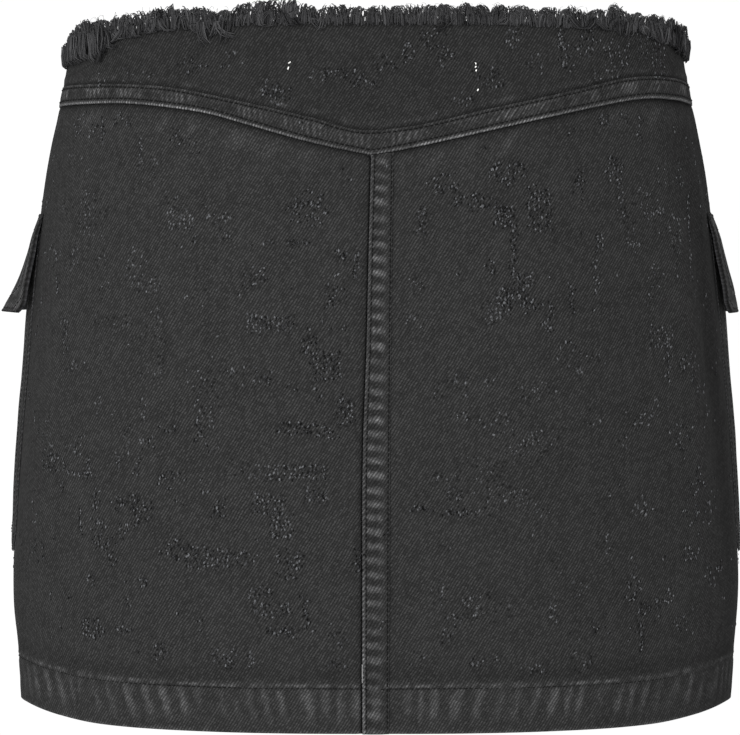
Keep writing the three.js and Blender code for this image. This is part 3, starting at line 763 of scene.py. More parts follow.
@dataclass(frozen=True)
class TwillDenim:
    """Washed black twill: right-hand lines broken into short dashes, worn pale where it rubs."""

    dark: str = "#101010"
    light: str = "#393939"
    worn: str = "#858586"
    painted_shade_colour: str = "#070707"
    back: str = "#262627"
    back_light: str = "#4c4c4e"
    across: float = 1.55
    upward: float = 2.46
    dash: float = 1.35
    depth: float = 0.00014

    def build(self) -> Material:
        """Makes the material."""
        material, g, shader = surface_of("washed_black_denim")
        metres = g.add("ShaderNodeUVMap", uv_map=UV_MAP)
        place = g.add("ShaderNodeVectorMath", {0: metres, 1: (1000,) * 3}, operation="MULTIPLY")
        parts = g.add("ShaderNodeSeparateXYZ", {0: place})
        along, up = parts.outputs[0], parts.outputs[1]
        wander = g.noise(place, 0.17, 2.0)
        shift = g.maths("MULTIPLY_ADD", wander, 0.9, -0.45)
        phase = g.maths("SUBTRACT", g.maths("DIVIDE", along, self.across), g.maths("DIVIDE", up, self.upward))
        phase = g.maths("ADD", phase, shift)
        ridge = g.maths("MULTIPLY_ADD", g.maths("SINE", g.maths("MULTIPLY", phase, 2 * math.pi)), 0.5, 0.5)
        line = g.maths("FLOOR", g.maths("SUBTRACT", phase, 0.75))
        step = g.maths("ADD", g.maths("DIVIDE", up, self.dash), g.maths("MULTIPLY", line, 0.37))
        cell = g.add("ShaderNodeCombineXYZ", {0: line, 1: g.maths("FLOOR", step)})
        chance = g.add("ShaderNodeTexWhiteNoise", {"Vector": cell}, noise_dimensions="2D")
        gap = g.maths("ABSOLUTE", g.maths("MULTIPLY_ADD", g.maths("FRACT", step), 2.0, -1.0))
        dash = g.maths("SUBTRACT", 1.0, g.maths("POWER", gap, 3.0))
        bright = g.maths("MULTIPLY_ADD", chance.outputs["Value"], 0.75, 0.3)
        broken = g.maths("MULTIPLY_ADD", dash, 0.65, 0.4)
        weave = g.maths("MULTIPLY", g.maths("MULTIPLY", ridge, broken), bright)
        stretched = g.add("ShaderNodeVectorMath", {0: place, 1: (0.55, 0.035, 1)}, operation="MULTIPLY")
        slub = g.noise(stretched, 1.0, 2.0)
        mottle = g.noise(place, 0.055, 4.0, Roughness=0.6)
        grain = g.noise(place, 1.9, 1.0)
        shade = g.maths("MULTIPLY_ADD", slub, 0.16, -0.08)
        shade = g.maths("ADD", shade, g.maths("MULTIPLY_ADD", mottle, 0.2, -0.1))
        shade = g.maths("ADD", shade, g.maths("MULTIPLY_ADD", grain, 0.6, -0.3))
        factor = g.maths("ADD", g.maths("MULTIPLY_ADD", weave, 0.72, 0.17), shade, clamp=True)
        colour = g.between(factor, linear(self.dark), linear(self.light))
        back = g.between(factor, linear(self.back), linear(self.back_light))
        colour = g.between(g.attribute("inside"), colour, back)
        rubbed = g.maths("MULTIPLY", g.attribute("wear"), g.maths("MULTIPLY_ADD", weave, 1.25, 0.28))
        rubbed = g.maths("MULTIPLY", rubbed, g.maths("MULTIPLY_ADD", grain, 0.7, 0.65), clamp=True)
        colour = g.between(rubbed, colour, linear(self.worn))
        # Painted shade: the attribute darkens the cloth towards a near-black shade colour in seams, creases,
        # hollows and on its darker sides.
        painted_shading = g.maths("MULTIPLY", g.attribute("painted_shade"), 0.85, clamp=True)
        colour = g.between(painted_shading, colour, linear(self.painted_shade_colour))
        # Painted shadow: dark spots where nicks lie thickly stand in for the shade in their holes, and also
        # dent the bump.
        spots = g.add("ShaderNodeTexVoronoi", {"Vector": place, "Scale": 0.42, "Randomness": 0.8})
        reach = {"Value": spots.outputs["Distance"], "From Min": 0.42, "From Max": 0.2}
        hole_spot = g.add("ShaderNodeMapRange", reach)
        hole_shade_and_dent = g.maths("MULTIPLY", g.maths("MULTIPLY", hole_spot, g.attribute("nicks")), 0.6)
        colour = g.between(hole_shade_and_dent, colour, linear(self.painted_shade_colour))
        relief = g.maths("ADD", weave, g.maths("MULTIPLY", grain, 0.5))
        relief = g.maths("SUBTRACT", relief, g.maths("MULTIPLY", hole_shade_and_dent, 1.5))
        bump = g.add("ShaderNodeBump", {"Height": relief, "Strength": 0.9, "Distance": self.depth})
        g.tree.links.new(colour, shader.inputs["Base Color"])
        g.tree.links.new(bump.outputs[0], shader.inputs["Normal"])
        set_sockets(shader, {"Roughness": 0.95, "Specular IOR Level": 0.03, "Diffuse Roughness": 0.2})
        return material


@dataclass(frozen=True)
class Thread:
    """Cotton thread, between two tones that the attribute "tone" picks."""

    name: str
    dark: str
    light: str

    def build(self) -> Material:
        """Makes the material."""
        material, g, shader = surface_of(self.name)
        place = g.add("ShaderNodeTexCoord").outputs["Object"]
        noise = g.noise(place, 900.0, 1.0)
        factor = g.maths("ADD", g.attribute("tone"), g.maths("MULTIPLY_ADD", noise, 0.3, -0.15))
        colour = g.between(g.add("ShaderNodeClamp", {0: factor}), linear(self.dark), linear(self.light))
        g.tree.links.new(colour, shader.inputs["Base Color"])
        set_sockets(shader, {"Roughness": 0.9, "Specular IOR Level": 0.08})
        return material


@dataclass(frozen=True)
class Gunmetal:
    """Dark plated metal with a satin polish."""

    colour: str = "#5a5a5e"

    def build(self) -> Material:
        """Makes the material."""
        material, g, shader = surface_of("gunmetal")
        place = g.add("ShaderNodeTexCoord").outputs["Object"]
        noise = g.noise(place, 700.0, 3.0)
        rough = g.add("ShaderNodeMapRange", {"Value": noise, "To Min": 0.28, "To Max": 0.5})
        g.tree.links.new(rough.outputs[0], shader.inputs["Roughness"])
        set_sockets(shader, {"Base Color": linear(self.colour), "Metallic": 1.0})
        return material


@dataclass(frozen=True)
class Finishes:
    """The finishes of the whole skirt."""

    denim: Material = field(default_factory=lambda: TwillDenim().build())
    fray: Material = field(default_factory=lambda: Thread("fray_cotton", "#131314", "#4a4a4b").build())
    thread: Material = field(default_factory=lambda: Thread("sewing_thread", "#060606", "#121212").build())
    fluff: Material = field(default_factory=lambda: Thread("nicked_fluff", "#1c1c1d", "#545557").build())
    tack: Material = field(default_factory=lambda: Thread("white_tack", "#c4c4c1", "#d9d9d6").build())
    metal: Material = field(default_factory=lambda: Gunmetal().build())


def new_tree(name: str, numbers: Sequence[str]) -> tuple[Graph, Node, Node]:
    """A geometry tree with a shape, a material and some numbers as its inputs.

    Args:
        name: the tree's name.
        numbers: the names of its number inputs.

    Returns:
        The graph, its input node and its output node.
    """
    tree = bpy.data.node_groups.new(name, "GeometryNodeTree")
    tree.interface.new_socket("Geometry", in_out="INPUT", socket_type="NodeSocketGeometry")
    tree.interface.new_socket("Geometry", in_out="OUTPUT", socket_type="NodeSocketGeometry")
    tree.interface.new_socket("Material", in_out="INPUT", socket_type="NodeSocketMaterial")
    for number in numbers:
        tree.interface.new_socket(number, in_out="INPUT", socket_type="NodeSocketFloat")
    return Graph(tree), tree.nodes.new("NodeGroupInput"), tree.nodes.new("NodeGroupOutput")


def named(g: Graph, name: str, data_type: str = "FLOAT_VECTOR") -> Node:
    """Adds a node that reads a named attribute."""
    return g.add("GeometryNodeInputNamedAttribute", {"Name": name}, data_type=data_type)


def turned(g: Graph, first: str, primary: Any, second: str, secondary: Any) -> Node:
    """Adds a turn that points two axes along two directions."""
    inputs = {"Primary Axis": primary, "Secondary Axis": secondary}
    return g.add("FunctionNodeAxesToRotation", inputs, primary_axis=first, secondary_axis=second)


def placed(g: Graph, points: Any, ball: Node, turn: Node, scale: Any) -> Node:
    """Adds copies of a shape on points, turned and scaled."""
    inputs = {"Points": points, "Instance": ball.outputs[0], "Rotation": turn, "Scale": scale}
    return g.add("GeometryNodeInstanceOnPoints", inputs)


def close_tree(g: Graph, made: Any, given: Node, result: Node) -> None:
    """Ends a tree with real smooth meshes that wear the given material."""
    real = g.add("GeometryNodeRealizeInstances", {0: made})
    smooth = g.add("GeometryNodeSetShadeSmooth", {0: real})
    dressed = g.add("GeometryNodeSetMaterial", {"Geometry": smooth, "Material": given.outputs["Material"]})
    g.tree.links.new(dressed.outputs[0], result.inputs["Geometry"])


def stitch_tree() -> NodeTree:
    """A tree that lays a stitch on every pitch of its lines, turned to face the attribute "out"."""
    g, given, result = new_tree("stitch_rows", ("Pitch", "Length", "Thickness"))
    curve = g.add("GeometryNodeMeshToCurve", {"Mesh": given.outputs["Geometry"]})
    row = g.add(
        "GeometryNodeResampleCurve", {"Curve": curve, "Length": given.outputs["Pitch"]}, mode="LENGTH"
    )
    ball = g.add("GeometryNodeMeshUVSphere", {"Segments": 6, "Rings": 4, "Radius": 0.5})
    thick = given.outputs["Thickness"]
    size = g.add("ShaderNodeCombineXYZ", {0: given.outputs["Length"], 1: thick, 2: thick})
    turn = turned(g, "X", g.add("GeometryNodeInputTangent"), "Z", named(g, "out"))
    vary = g.add("FunctionNodeRandomValue", {"Min_001": 0.82, "Max_001": 1.12, "Seed": 3})
    scale = g.add("ShaderNodeVectorMath", {0: size, 1: vary.outputs[1]}, operation="MULTIPLY")
    close_tree(g, placed(g, row, ball, turn, scale), given, result)
    return g.tree


def bead_tree(name: str, shape: str, values: dict[str, Any]) -> NodeTree:
    """A tree that sets a small round shape on each point, by its attributes "out", "along" and "size"."""
    g, given, result = new_tree(name, ())
    ball = g.add(shape, values)
    turn = turned(g, "Z", named(g, "out"), "X", named(g, "along"))
    close_tree(g, placed(g, given.outputs["Geometry"], ball, turn, named(g, "size")), given, result)
    return g.tree


def tuft_tree() -> NodeTree:
    """A tree for the nicks' tufts."""
    return bead_tree("tufts", "GeometryNodeMeshIcoSphere", {"Radius": 0.5, "Subdivisions": 1})


def hole_shade_tree() -> NodeTree:
    """A tree for the dark discs that are painted shade in the nicks' holes."""
    return bead_tree("hole_shades", "GeometryNodeMeshUVSphere", {"Segments": 5, "Rings": 2, "Radius": 0.5})


def yarn_tree() -> NodeTree:
    """A tree that turns its lines into strands as thick as the attribute "thick" says."""
    g, given, result = new_tree("yarns", ())
    curve = g.add("GeometryNodeMeshToCurve", {"Mesh": given.outputs["Geometry"]})
    ring = g.add("GeometryNodeCurvePrimitiveCircle", {"Resolution": 3, "Radius": 1.0})
    inputs = {"Curve": curve, "Profile Curve": ring.outputs[0], "Fill Caps": True}
    made = g.add("GeometryNodeCurveToMesh", {**inputs, "Scale": named(g, "thick", "FLOAT")})
    close_tree(g, made, given, result)
    return g.tree


@dataclass(frozen=True)
class Growers:
    """The trees that repeat stitches, tufts and yarns."""

    stitches: NodeTree = field(default_factory=stitch_tree)
    tufts: NodeTree = field(default_factory=tuft_tree)
    hole_shades: NodeTree = field(default_factory=hole_shade_tree)
    yarns: NodeTree = field(default_factory=yarn_tree)


def grown(name: str, mesh: Mesh, tree: NodeTree, material: Material, **numbers: float) -> Object:
    """Runs a tree once on a mesh and keeps its result as a plain mesh.

    Args:
        name: the name of the object that is made.
        mesh: the lines or points that the tree starts from.
        tree: the tree.
        material: the finish of what grows.
        numbers: the tree's numbers, by their names in small letters.

    Returns:
        The object.
    """
    seed = new_object(name, mesh)
    modifier = seed.modifiers.new("grow", "NODES")
    modifier.node_group = tree
    values: dict[str, Any] = {"Material": material, **{k.capitalize(): v for k, v in numbers.items()}}
    for item in tree.interface.items_tree:
        if item.in_out == "INPUT" and item.name in values:
            modifier[item.identifier] = values[item.name]
    graph = bpy.context.evaluated_depsgraph_get()
    plain = bpy.data.meshes.new_from_object(seed.evaluated_get(graph))
    seed.modifiers.remove(modifier)
    seed.data = plain
    plain.name = name
    return seed


def wire(name: str, lines: Sequence[Array], **layers: Sequence[Array]) -> Mesh:
    """A mesh of bare lines.

    Args:
        name: the mesh's name.
        lines: for each line its points, in millimetres above the hem.
        layers: for each attribute its values along every line.

    Returns:
        The mesh, in metres in the frame.
    """
    points = in_metres(np.concatenate(lines))
    starts = np.cumsum([0] + [len(line) for line in lines])
    ends = set((starts[1:] - 1).tolist())
    edges = [(i, i + 1) for i in range(len(points)) if i not in ends]
    mesh = bpy.data.meshes.new(name)
    mesh.from_pydata(points.tolist(), edges, [])
    for layer, values in layers.items():
        store(mesh, layer, np.concatenate(values))
    return mesh


@dataclass
class Places:
    """The places of a piece's grid, and how far each is from the piece's edges in millimetres."""

    angle: Array
    height: Array
    arc: Array
    from_left: Array
    from_right: Array
    from_bottom: Array
    from_top: Array

    @property
    def from_sides(self) -> Array:
        """The distance to the nearer upright edge."""
        return np.minimum(self.from_left, self.from_right)

    @property
    def from_edge(self) -> Array:
        """The distance to the nearest edge."""
        return np.minimum(self.from_sides, np.minimum(self.from_bottom, self.from_top))


def hem_roping(arc: Array, up: Array) -> Array:
    """The slanted crests of the turned-up hem, which lean away from the centre back."""
    lean = np.where(arc < 0, -1.0, 1.0) * smoothstep(np.abs(arc), 10, 60)
    way = arc / 9.4 + lean * (24 - up) / 34 + 0.5 * uneven(5, arc / 15)
    return np.sin(2 * math.pi * way) * (0.55 + 0.5 * uneven(15, arc / 14))


def hem_relief(arc: Array, up: Array) -> Array:
    """How the turned-up hem stands out of the cloth, from the height above its folded edge."""
    band = smoothstep(up, 0.5, 9) * smoothstep(up, 23, 20)
    ridge = 0.2 * bump_at(up - 23.8, 1.4) * (0.8 + 0.5 * uneven(6, arc / 5))
    return 0.32 * hem_roping(arc, up) * band + ridge - 0.35 * bump_at(up - HEM_ROW, 0.8)


def hem_wear(arc: Array, up: Array) -> Array:
    """How worn the turned-up hem is."""
    patches = np.clip(hem_roping(arc, up) + 0.3 * uneven(7, arc / 3, up / 6), 0, 1)
    patches = patches * smoothstep(up, 2, 14) * smoothstep(up, 23, 20)
    fold = bump_at(up, 1.2) * (0.08 + 0.1 * uneven(8, arc / 4))
    ridge = bump_at(up - 23.6, 0.7) * np.clip(0.07 + 0.26 * uneven(9, arc / 1.5), 0, 1)
    return 0.18 * patches + fold + ridge


def hem_painted_shade(up: Array) -> Array:
    """The painted shade in the hem's row of stitches and in the band of cloth just above the hem's ridge."""
    row = 0.22 * bump_at(up - HEM_ROW, 0.6)
    return row + 0.2 * smoothstep(up, 25, 27) * smoothstep(up, 36, 29)


@dataclass
class ClothPiece:
    """One cut piece of cloth, between two lines up and two lines round."""

    form: WornForm
    cut: Cut
    name: str
    left: Reading
    right: Reading
    bottom: Reading
    top: Reading
    column: float = 2.0
    row: float = 2.6
    fine: float = 0.0
    fine_row: float = 1.2
    seed: int = 1

    def places(self) -> Places:
        """The piece's grid."""
        form = self.form
        middle = np.array((self.left(np.array(150.0)) + self.right(np.array(150.0))) / 2)
        low, high = float(self.bottom(middle)), float(self.top(middle))
        level = np.array((low + high) / 2)
        first, last = float(self.left(level)), float(self.right(level))
        start = float(form.arc(np.array(first), level))
        width = float(form.arc(np.array(last), level)) - start
        even = form.angles_at(start + width * shares_along(width, self.column), float(level))
        across = ((even - first) / (last - first))[:, None]
        up = shares_along(high - low, self.row, self.fine, self.fine_row)[None, :]
        height = low + up * (high - low) + 0 * across
        angle = height
        for _ in range(5):
            left, right = self.left(height), self.right(height)
            angle = left + across * (right - left)
            height = self.bottom(angle) + up * (self.top(angle) - self.bottom(angle))
        return self.places_at(angle, height)

    def places_at(self, angle: Array, height: Array) -> Places:
        """Any places on the piece, with their distances to its edges."""
        arc = self.form.arc(angle, height)
        return Places(
            angle,
            height,
            arc,
            arc - self.form.arc(self.left(height), height),
            self.form.arc(self.right(height), height) - arc,
            height - self.bottom(angle),
            self.top(angle) - height,
        )

    def line_on(self, angle: Array, height: Array, above: float = 0.15) -> tuple[Array, Array]:
        """A line on the piece's outer face, and the directions out of it."""
        angle, height = np.broadcast_arrays(np.asarray(angle, float), np.asarray(height, float))
        out = self.outer(self.places_at(angle, height)) + above
        return self.form.point(angle, height, out), self.form.outward(angle, height)

    def outer(self, at: Places) -> Array:
        """How far out the outer face lies."""
        return -rolled(at.from_edge, 0.6)

    def inner(self, at: Places) -> Array:
        """How far out the inner face lies."""
        return -CLOTH + 0 * at.angle

    def wear(self, at: Places) -> Array:
        """How worn the cloth is."""
        return 0 * at.angle

    def painted_shade(self, at: Places) -> Array:
        """How much painted shade darkens the cloth."""
        return 0 * at.angle

    def build(self, finishes: Finishes, nicks: Density | None = None) -> Object:
        """Makes the piece."""
        at = self.places()
        self.sheet = Sheet(
            self.name, at.angle, at.height, self.outer(at), self.inner(at), self.wear(at), self.painted_shade(at)
        )
        marks = nicks(at) if nicks else 0 * at.angle
        return self.sheet.build(self.form, finishes.denim, marks)

    def declare(self, piece: Object, held: str, rests_on: Sequence[str], extras: Sequence[Any]) -> None:
        """Says how the piece was cut."""
        flat, area = self.sheet.flat_size(self.form)
        width, length = (size * 1000 for size in flat)
        LOG.info("%s is cut %.0f x %.0f mm, %.0f square cm", self.name, width, length, area * 1e4)
        list(extras)


@dataclass
class BodyPanel(ClothPiece):
    """A panel of the body, with a turned hem and soft valleys at its seams."""

    centre_left: bool = False
    centre_right: bool = False

    def from_side_seam(self, at: Places) -> Array:
        """The distance to the nearer seam that lies at a side."""
        left = at.from_left + (1000 if self.centre_left else 0)
        return np.minimum(left, at.from_right + (1000 if self.centre_right else 0))

    def outer(self, at: Places) -> Array:
        """The face with its seams' valleys, its hem and a little unevenness."""
        valleys = -0.75 * bump_at(at.from_sides, 2.4) - 0.25 * bump_at(at.from_top, 1.5)
        waves = np.sin(2 * math.pi * (at.height / 8.5 + 0.3 * uneven(self.seed, at.height / 20)))
        puckers = 0.35 * bump_at(at.from_sides - 3.2, 2.2) * waves
        soft = 0.16 * uneven(self.seed + 1, at.arc / 11, at.height / 16)
        soft = soft + 0.3 * uneven(self.seed + 2, at.arc / 34, at.height / 52)
        soft = soft * smoothstep(at.from_edge, 0, 9)
        hem = hem_relief(at.arc, at.from_bottom)
        ends = -rolled(at.from_sides, 0.45) - rolled(at.from_bottom, 0.6)
        return valleys + puckers + soft + hem * smoothstep(at.from_sides, 0, 2) + ends

    def inner(self, at: Places) -> Array:
        """The plain inner face, rounded at the hem."""
        return -CLOTH + rolled(at.from_bottom, 0.4)

    def wear(self, at: Places) -> Array:
        """Worn at the hem and along the seams."""
        frayed = 1 + 0.6 * uneven(self.seed + 3, at.height / 4)
        seams = 0.22 * bump_at(self.from_side_seam(at) - 1.6, 1.1) * frayed
        slanted = np.clip(uneven(self.seed + 4, at.arc / 6 - at.height / 9), 0, 1)
        below = 0.07 * bump_at(at.from_top - 8, 5) * slanted
        return np.clip(seams + below + hem_wear(at.arc, at.from_bottom), 0, 1)

    def painted_shade(self, at: Places) -> Array:
        """Painted shade along the seams, beneath the yoke's edge, towards both sides, in a crease on the
        right, and at the hem.
        """
        # Painted shade: in the seams' valleys and under the yoke's edge, towards the right side and the far
        # left side as the light falls there, and in the crease's hollow on the right.
        seams = 0.9 * bump_at(at.from_sides, 0.9) + 0.6 * bump_at(at.from_top, 1.8)
        right = 0.12 * smoothstep(at.angle, 8, 40)
        right = right + 0.26 * smoothstep(at.angle, 52, 76) * smoothstep(at.angle, 120, 95)
        left = 0.05 + 0.2 * smoothstep(at.angle, -58, -78) * smoothstep(at.angle, -120, -95)
        crease_shade = 0.2 * bump_at(at.angle - 69 + 0.03 * (at.height - 180), 4.5) * bump_at(at.height - 180, 110)
        return np.clip(seams + right + left + crease_shade + hem_painted_shade(at.from_bottom), 0, 1)


@dataclass
class Yoke(ClothPiece):
    """The V-shaped yoke, whose upper edge is raw."""

    def outer(self, at: Places) -> Array:
        """The face, with the seam's inner layers showing as a soft line above the stitches."""
        above = at.height - self.cut.upper_row(at.angle)
        line = 0.28 * bump_at(above - 5.5, 1.6) * (0.7 + 0.5 * uneven(3, at.arc / 6))
        soft = 0.16 * uneven(self.seed, at.arc / 10, at.height / 10)
        valleys = -0.7 * bump_at(at.from_sides, 2.4)
        return line + soft * smoothstep(at.from_edge, 0, 6) + valleys - rolled(at.from_edge, 0.5)

    def wear(self, at: Places) -> Array:
        """A little worn along the soft line."""
        above = at.height - self.cut.upper_row(at.angle)
        dashes = np.clip(0.35 + 0.9 * uneven(4, at.arc / 1.8, at.height / 3), 0, 1)
        dashes = dashes * (0.8 + 0.5 * uneven(26, at.arc / 9))
        return np.clip(0.13 * bump_at(above - 4.6, 1.2) * dashes, 0, 1)

    def painted_shade(self, at: Places) -> Array:
        """Painted shade over the whole yoke, deeper towards the right, beside the upper row of stitches,
        along the foot of the fray and at the side seams.
        """
        above = at.height - self.cut.upper_row(at.angle)
        yoke_shade = 0.27 + 0.1 * smoothstep(at.angle, 20, 70)
        row, fray_foot_shade = 0.35 * bump_at(above - 2.4, 1.0), 0.5 * bump_at(at.from_top, 2.6)
        return np.clip(yoke_shade + row + fray_foot_shade + 0.9 * bump_at(at.from_sides, 0.9), 0, 1)


@dataclass
class YokeFell(ClothPiece):
    """The felled band along the yoke's lower edge, puckered between its two rows of stitches."""

    lower_row: float = 2.2
    upper_inset: float = YOKE_ROW_INSET

    def bars(self, at: Places) -> Array:
        """The fine puckers across the band, in uneven groups, which follow the twill on the right."""
        lean = np.where(at.angle < 0, 0.03, -0.26) * smoothstep(np.abs(at.angle), 0, 12)
        way = at.arc / 2.7 + lean * at.from_bottom + 0.7 * uneven(11, at.arc / 9)
        fine = 0.45 * uneven(14, at.arc / 1.7, at.from_bottom / 3)
        groups = np.clip(0.4 + 0.8 * uneven(12, at.arc / 5.5) + fine, 0, 1)
        return np.clip(0.4 + 0.6 * np.sin(2 * math.pi * way), 0, 1) * groups

    def middle(self, at: Places) -> Array:
        """How near a place is to the middle between the rows, from 0 to 1."""
        low, high = at.from_bottom - self.lower_row, at.from_top - self.upper_inset
        return smoothstep(low, 0.2, 2.2) * smoothstep(high, 0.2, 2.0)

    def outer(self, at: Places) -> Array:
        """The band's face, which is pulled in along its rows and sits closer at the side seams."""
        rows = (
            -0.3 * bump_at(at.from_bottom - self.lower_row, 0.7)
            - 0.28 * bump_at(at.from_top - self.upper_inset, 0.7)
        )
        soft = 0.2 * uneven(17, at.arc / 5.5, at.from_bottom / 8)
        puckers = (0.3 * (self.bars(at) - 0.4) + soft) * self.middle(at)
        edge = rolled(at.from_bottom, 1.0) + rolled(np.minimum(at.from_sides, at.from_top), 0.5)
        thin = 1.3 * smoothstep(np.abs(at.angle), 70, 89)
        return SEAM_GAP + FELL_LAYERS - thin + puckers + rows - 0.9 * edge

    def inner(self, at: Places) -> Array:
        """The band's plain back."""
        return SEAM_GAP + 0 * at.angle

    def wear(self, at: Places) -> Array:
        """Bright slanted dashes along the lower edge, and pale bars between the rows."""
        edge = broken_line(YOKE_EDGE_WEAR, "angle", "amount")(at.angle) * (0.9 + 0.3 * uneven(18, at.arc / 8))
        bars = broken_line(YOKE_PUCKER_WEAR, "angle", "amount")(at.angle)
        way = at.arc / 1.9 - at.from_bottom * 0.3 + 0.2 * uneven(13, at.arc / 6)
        dashes = 0.72 + 0.4 * np.sin(2 * math.pi * way)
        lip = 1.1 * edge * bump_at(at.from_bottom - 0.3, 0.48) * np.clip(dashes, 0, 1.1)
        frayed = np.clip(0.5 + 0.9 * uneven(19, at.arc / 1.9), 0, 1)
        top = 0.2 * bars * bump_at(at.from_top - 0.2, 0.8) * frayed
        rubbed = np.clip(0.4 + uneven(20, at.arc / 1.8), 0, 1)
        beside = 0.18 * bars * bump_at(at.from_top - self.upper_inset - 1.2, 0.7) * rubbed
        return np.clip(lip + 0.6 * bars * self.bars(at) * self.middle(at) + top + beside, 0, 1)

    def painted_shade(self, at: Places) -> Array:
        """Painted shade along the rows and in the puckers' hollows, with the whole band a little darker."""
        rows = (
            0.12 * bump_at(at.from_bottom - self.lower_row, 0.7)
            + 0.1 * bump_at(at.from_top - self.upper_inset, 0.6)
        )
        hollow_shade = 0.2 * (1 - self.bars(at)) * self.middle(at) * (0.6 + 0.6 * uneven(16, at.arc / 4))
        return np.clip(rows + hollow_shade + 0.12, 0, 1)


@dataclass
class UprightFell(ClothPiece):
    """The felled band of a centre seam, roped beside its seam line and fading into the cloth beyond."""

    seam_first: bool = True

    def from_seam(self, at: Places) -> Array:
        """The distance from the seam line."""
        return at.from_left if self.seam_first else at.from_right

    def from_fold(self, at: Places) -> Array:
        """The distance from the band's other edge."""
        return at.from_right if self.seam_first else at.from_left

    def roping(self, at: Places) -> Array:
        """The crests across the band, from 0 to 1, strongest beside the seam line."""
        way = at.height / 6.9 + 0.02 * self.from_seam(at) + 0.18 * uneven(21, at.height / 13)
        crest = np.clip(0.3 + np.sin(2 * math.pi * way), 0, 1.3) / 1.3
        reach = smoothstep(self.from_seam(at), 1.0, 3.0) * smoothstep(self.from_fold(at), 1.5, 5.5)
        return crest * reach * np.clip(0.75 + 0.4 * uneven(22, at.height / 9), 0, 1)

    def outer(self, at: Places) -> Array:
        """The band's face, which runs down over the hem and thins towards its folded edge."""
        thin = 0.85 * smoothstep(self.from_fold(at), 5.0, 0.4)
        rows = -0.35 * bump_at(self.from_seam(at) - 1.9, 0.6) - 0.12 * bump_at(self.from_fold(at) - 1.2, 0.7)
        edge = rolled(at.from_sides, 0.5) + rolled(np.minimum(at.from_bottom, at.from_top), 0.6)
        hem = 0.6 * hem_relief(at.arc, at.from_bottom) * smoothstep(at.from_sides, 0.8, 3)
        return SEAM_GAP + FELL_LAYERS - thin + 0.42 * self.roping(at) + rows + hem - 0.8 * edge

    def inner(self, at: Places) -> Array:
        """The band's plain back."""
        return SEAM_GAP - 0.15 + 0 * at.angle

    def wear(self, at: Places) -> Array:
        """Pale beads along the seam line, and pale crests beside it."""
        low = 0.13 + 0.3 * smoothstep(at.height, 95, 30)
        beads = np.clip(
            0.75 + 0.5 * np.sin(2 * math.pi * at.height / 2.5) + 0.3 * uneven(23, at.height / 5), 0, 1.2
        )
        seam = low * bump_at(self.from_seam(at) - 0.6, 0.8) * beads
        frayed = 0.8 + 0.4 * uneven(25, at.arc / 1.1, at.height / 3)
        crests = (0.34 - 0.12 * smoothstep(at.height, 120, 40)) * self.roping(at) * frayed
        return np.clip(seam + crests + 0.8 * hem_wear(at.arc, at.from_bottom), 0, 1)

    def painted_shade(self, at: Places) -> Array:
        """Painted shade along both rows, in the roping's hollows and at the hem."""
        reach = smoothstep(self.from_seam(at), 1.0, 3.0) * smoothstep(self.from_fold(at), 2.5, 6)
        shallow = np.clip(0.65 - 1.7 * self.roping(at), 0, 1)
        hollow_shade = 0.5 * reach * shallow * smoothstep(self.from_fold(at), 3, 7)
        rows = 0.25 * bump_at(self.from_seam(at) - 1.9, 0.6) + 0.2 * bump_at(self.from_fold(at) - 1.2, 0.5)
        return np.clip(rows + hollow_shade + hem_painted_shade(at.from_bottom), 0, 1)


@dataclass
class InnerLayer(ClothPiece):
    """A layer that lies inside the body, with its face and back at fixed depths."""

    face: float = -2.1
    back: float = -3.5

    def outer(self, at: Places) -> Array:
        """The side that lies against the body."""
        return self.face - rolled(at.from_edge, 0.3)

    def inner(self, at: Places) -> Array:
        """The side that faces the wearer."""
        return self.back + rolled(at.from_edge, 0.4)


@dataclass
class SidePiece(ClothPiece):
    """A pocket or a flap on one side of the skirt."""

    sign: int = 1
    row_inset: float = 2.2
    second_inset: float = 8.4
    rubbed: float = 0.05
    rub_inset: float = 0.5
    shaded: float = 0.2

    def share(self, at: Places) -> Array:
        """How far forwards a place is, from 0 at the rear edge to 1 at the front edge."""
        along = at.from_left if self.sign > 0 else at.from_right
        return along / (at.from_left + at.from_right)

    def edge_wear(self, at: Places) -> Array:
        """How worn the piece's edges are."""
        rim = bump_at(at.from_edge - self.rub_inset, 1.1 + self.rub_inset / 3)
        return self.rubbed * rim * (0.8 + 0.5 * uneven(self.seed, at.arc / 5, at.height / 5))

    def rows(self, at: Places) -> Array:
        """The two rows of stitches, as bumps of height 1."""
        return (
            bump_at(at.from_edge - self.row_inset, 0.7) + 0.8 * bump_at(at.from_edge - self.second_inset, 0.7)
        )

    def wear(self, at: Places) -> Array:
        """Worn at the edges, and beside the rows."""
        beside = 0.16 * bump_at(at.from_edge - self.second_inset - 1.6, 1.3)
        return np.clip(self.edge_wear(at) + beside, 0, 1)

    def painted_shade(self, at: Places) -> Array:
        """Painted shade in the rows of stitches, and along the edges as much as `shaded` says."""
        return np.clip(0.45 * self.rows(at) + self.shaded * bump_at(at.from_edge, 0.8), 0, 1)


@dataclass
class Pocket(SidePiece):
    """A cargo patch pocket."""

    layers: float = 1.7
    puff: float = 1.0

    def outer(self, at: Places) -> Array:
        """The pocket's face, a little full in the middle."""
        up = at.from_bottom / (at.from_bottom + at.from_top)
        fullness = np.sqrt(np.clip(np.sin(math.pi * self.share(at)) * np.sin(math.pi * up), 0, 1))
        soft = 0.2 * uneven(self.seed + 1, at.arc / 14, at.height / 14) * smoothstep(at.from_edge, 0, 9)
        rear = at.from_left if self.sign > 0 else at.from_right
        thin = 0.8 * smoothstep(at.from_top, 45, 5) + 0.7 * smoothstep(at.from_bottom, 26, 0)
        thin = np.minimum(thin + 1.4 * smoothstep(rear, 18, 0), 1.5)
        return (
            SEAM_GAP + self.layers - thin + self.puff * fullness + soft - 0.3 * self.rows(at)
            - 0.8 * rolled(at.from_edge, 0.7)
        )

    def inner(self, at: Places) -> Array:
        """The pocket's back, against the body."""
        return SEAM_GAP + 0 * at.angle


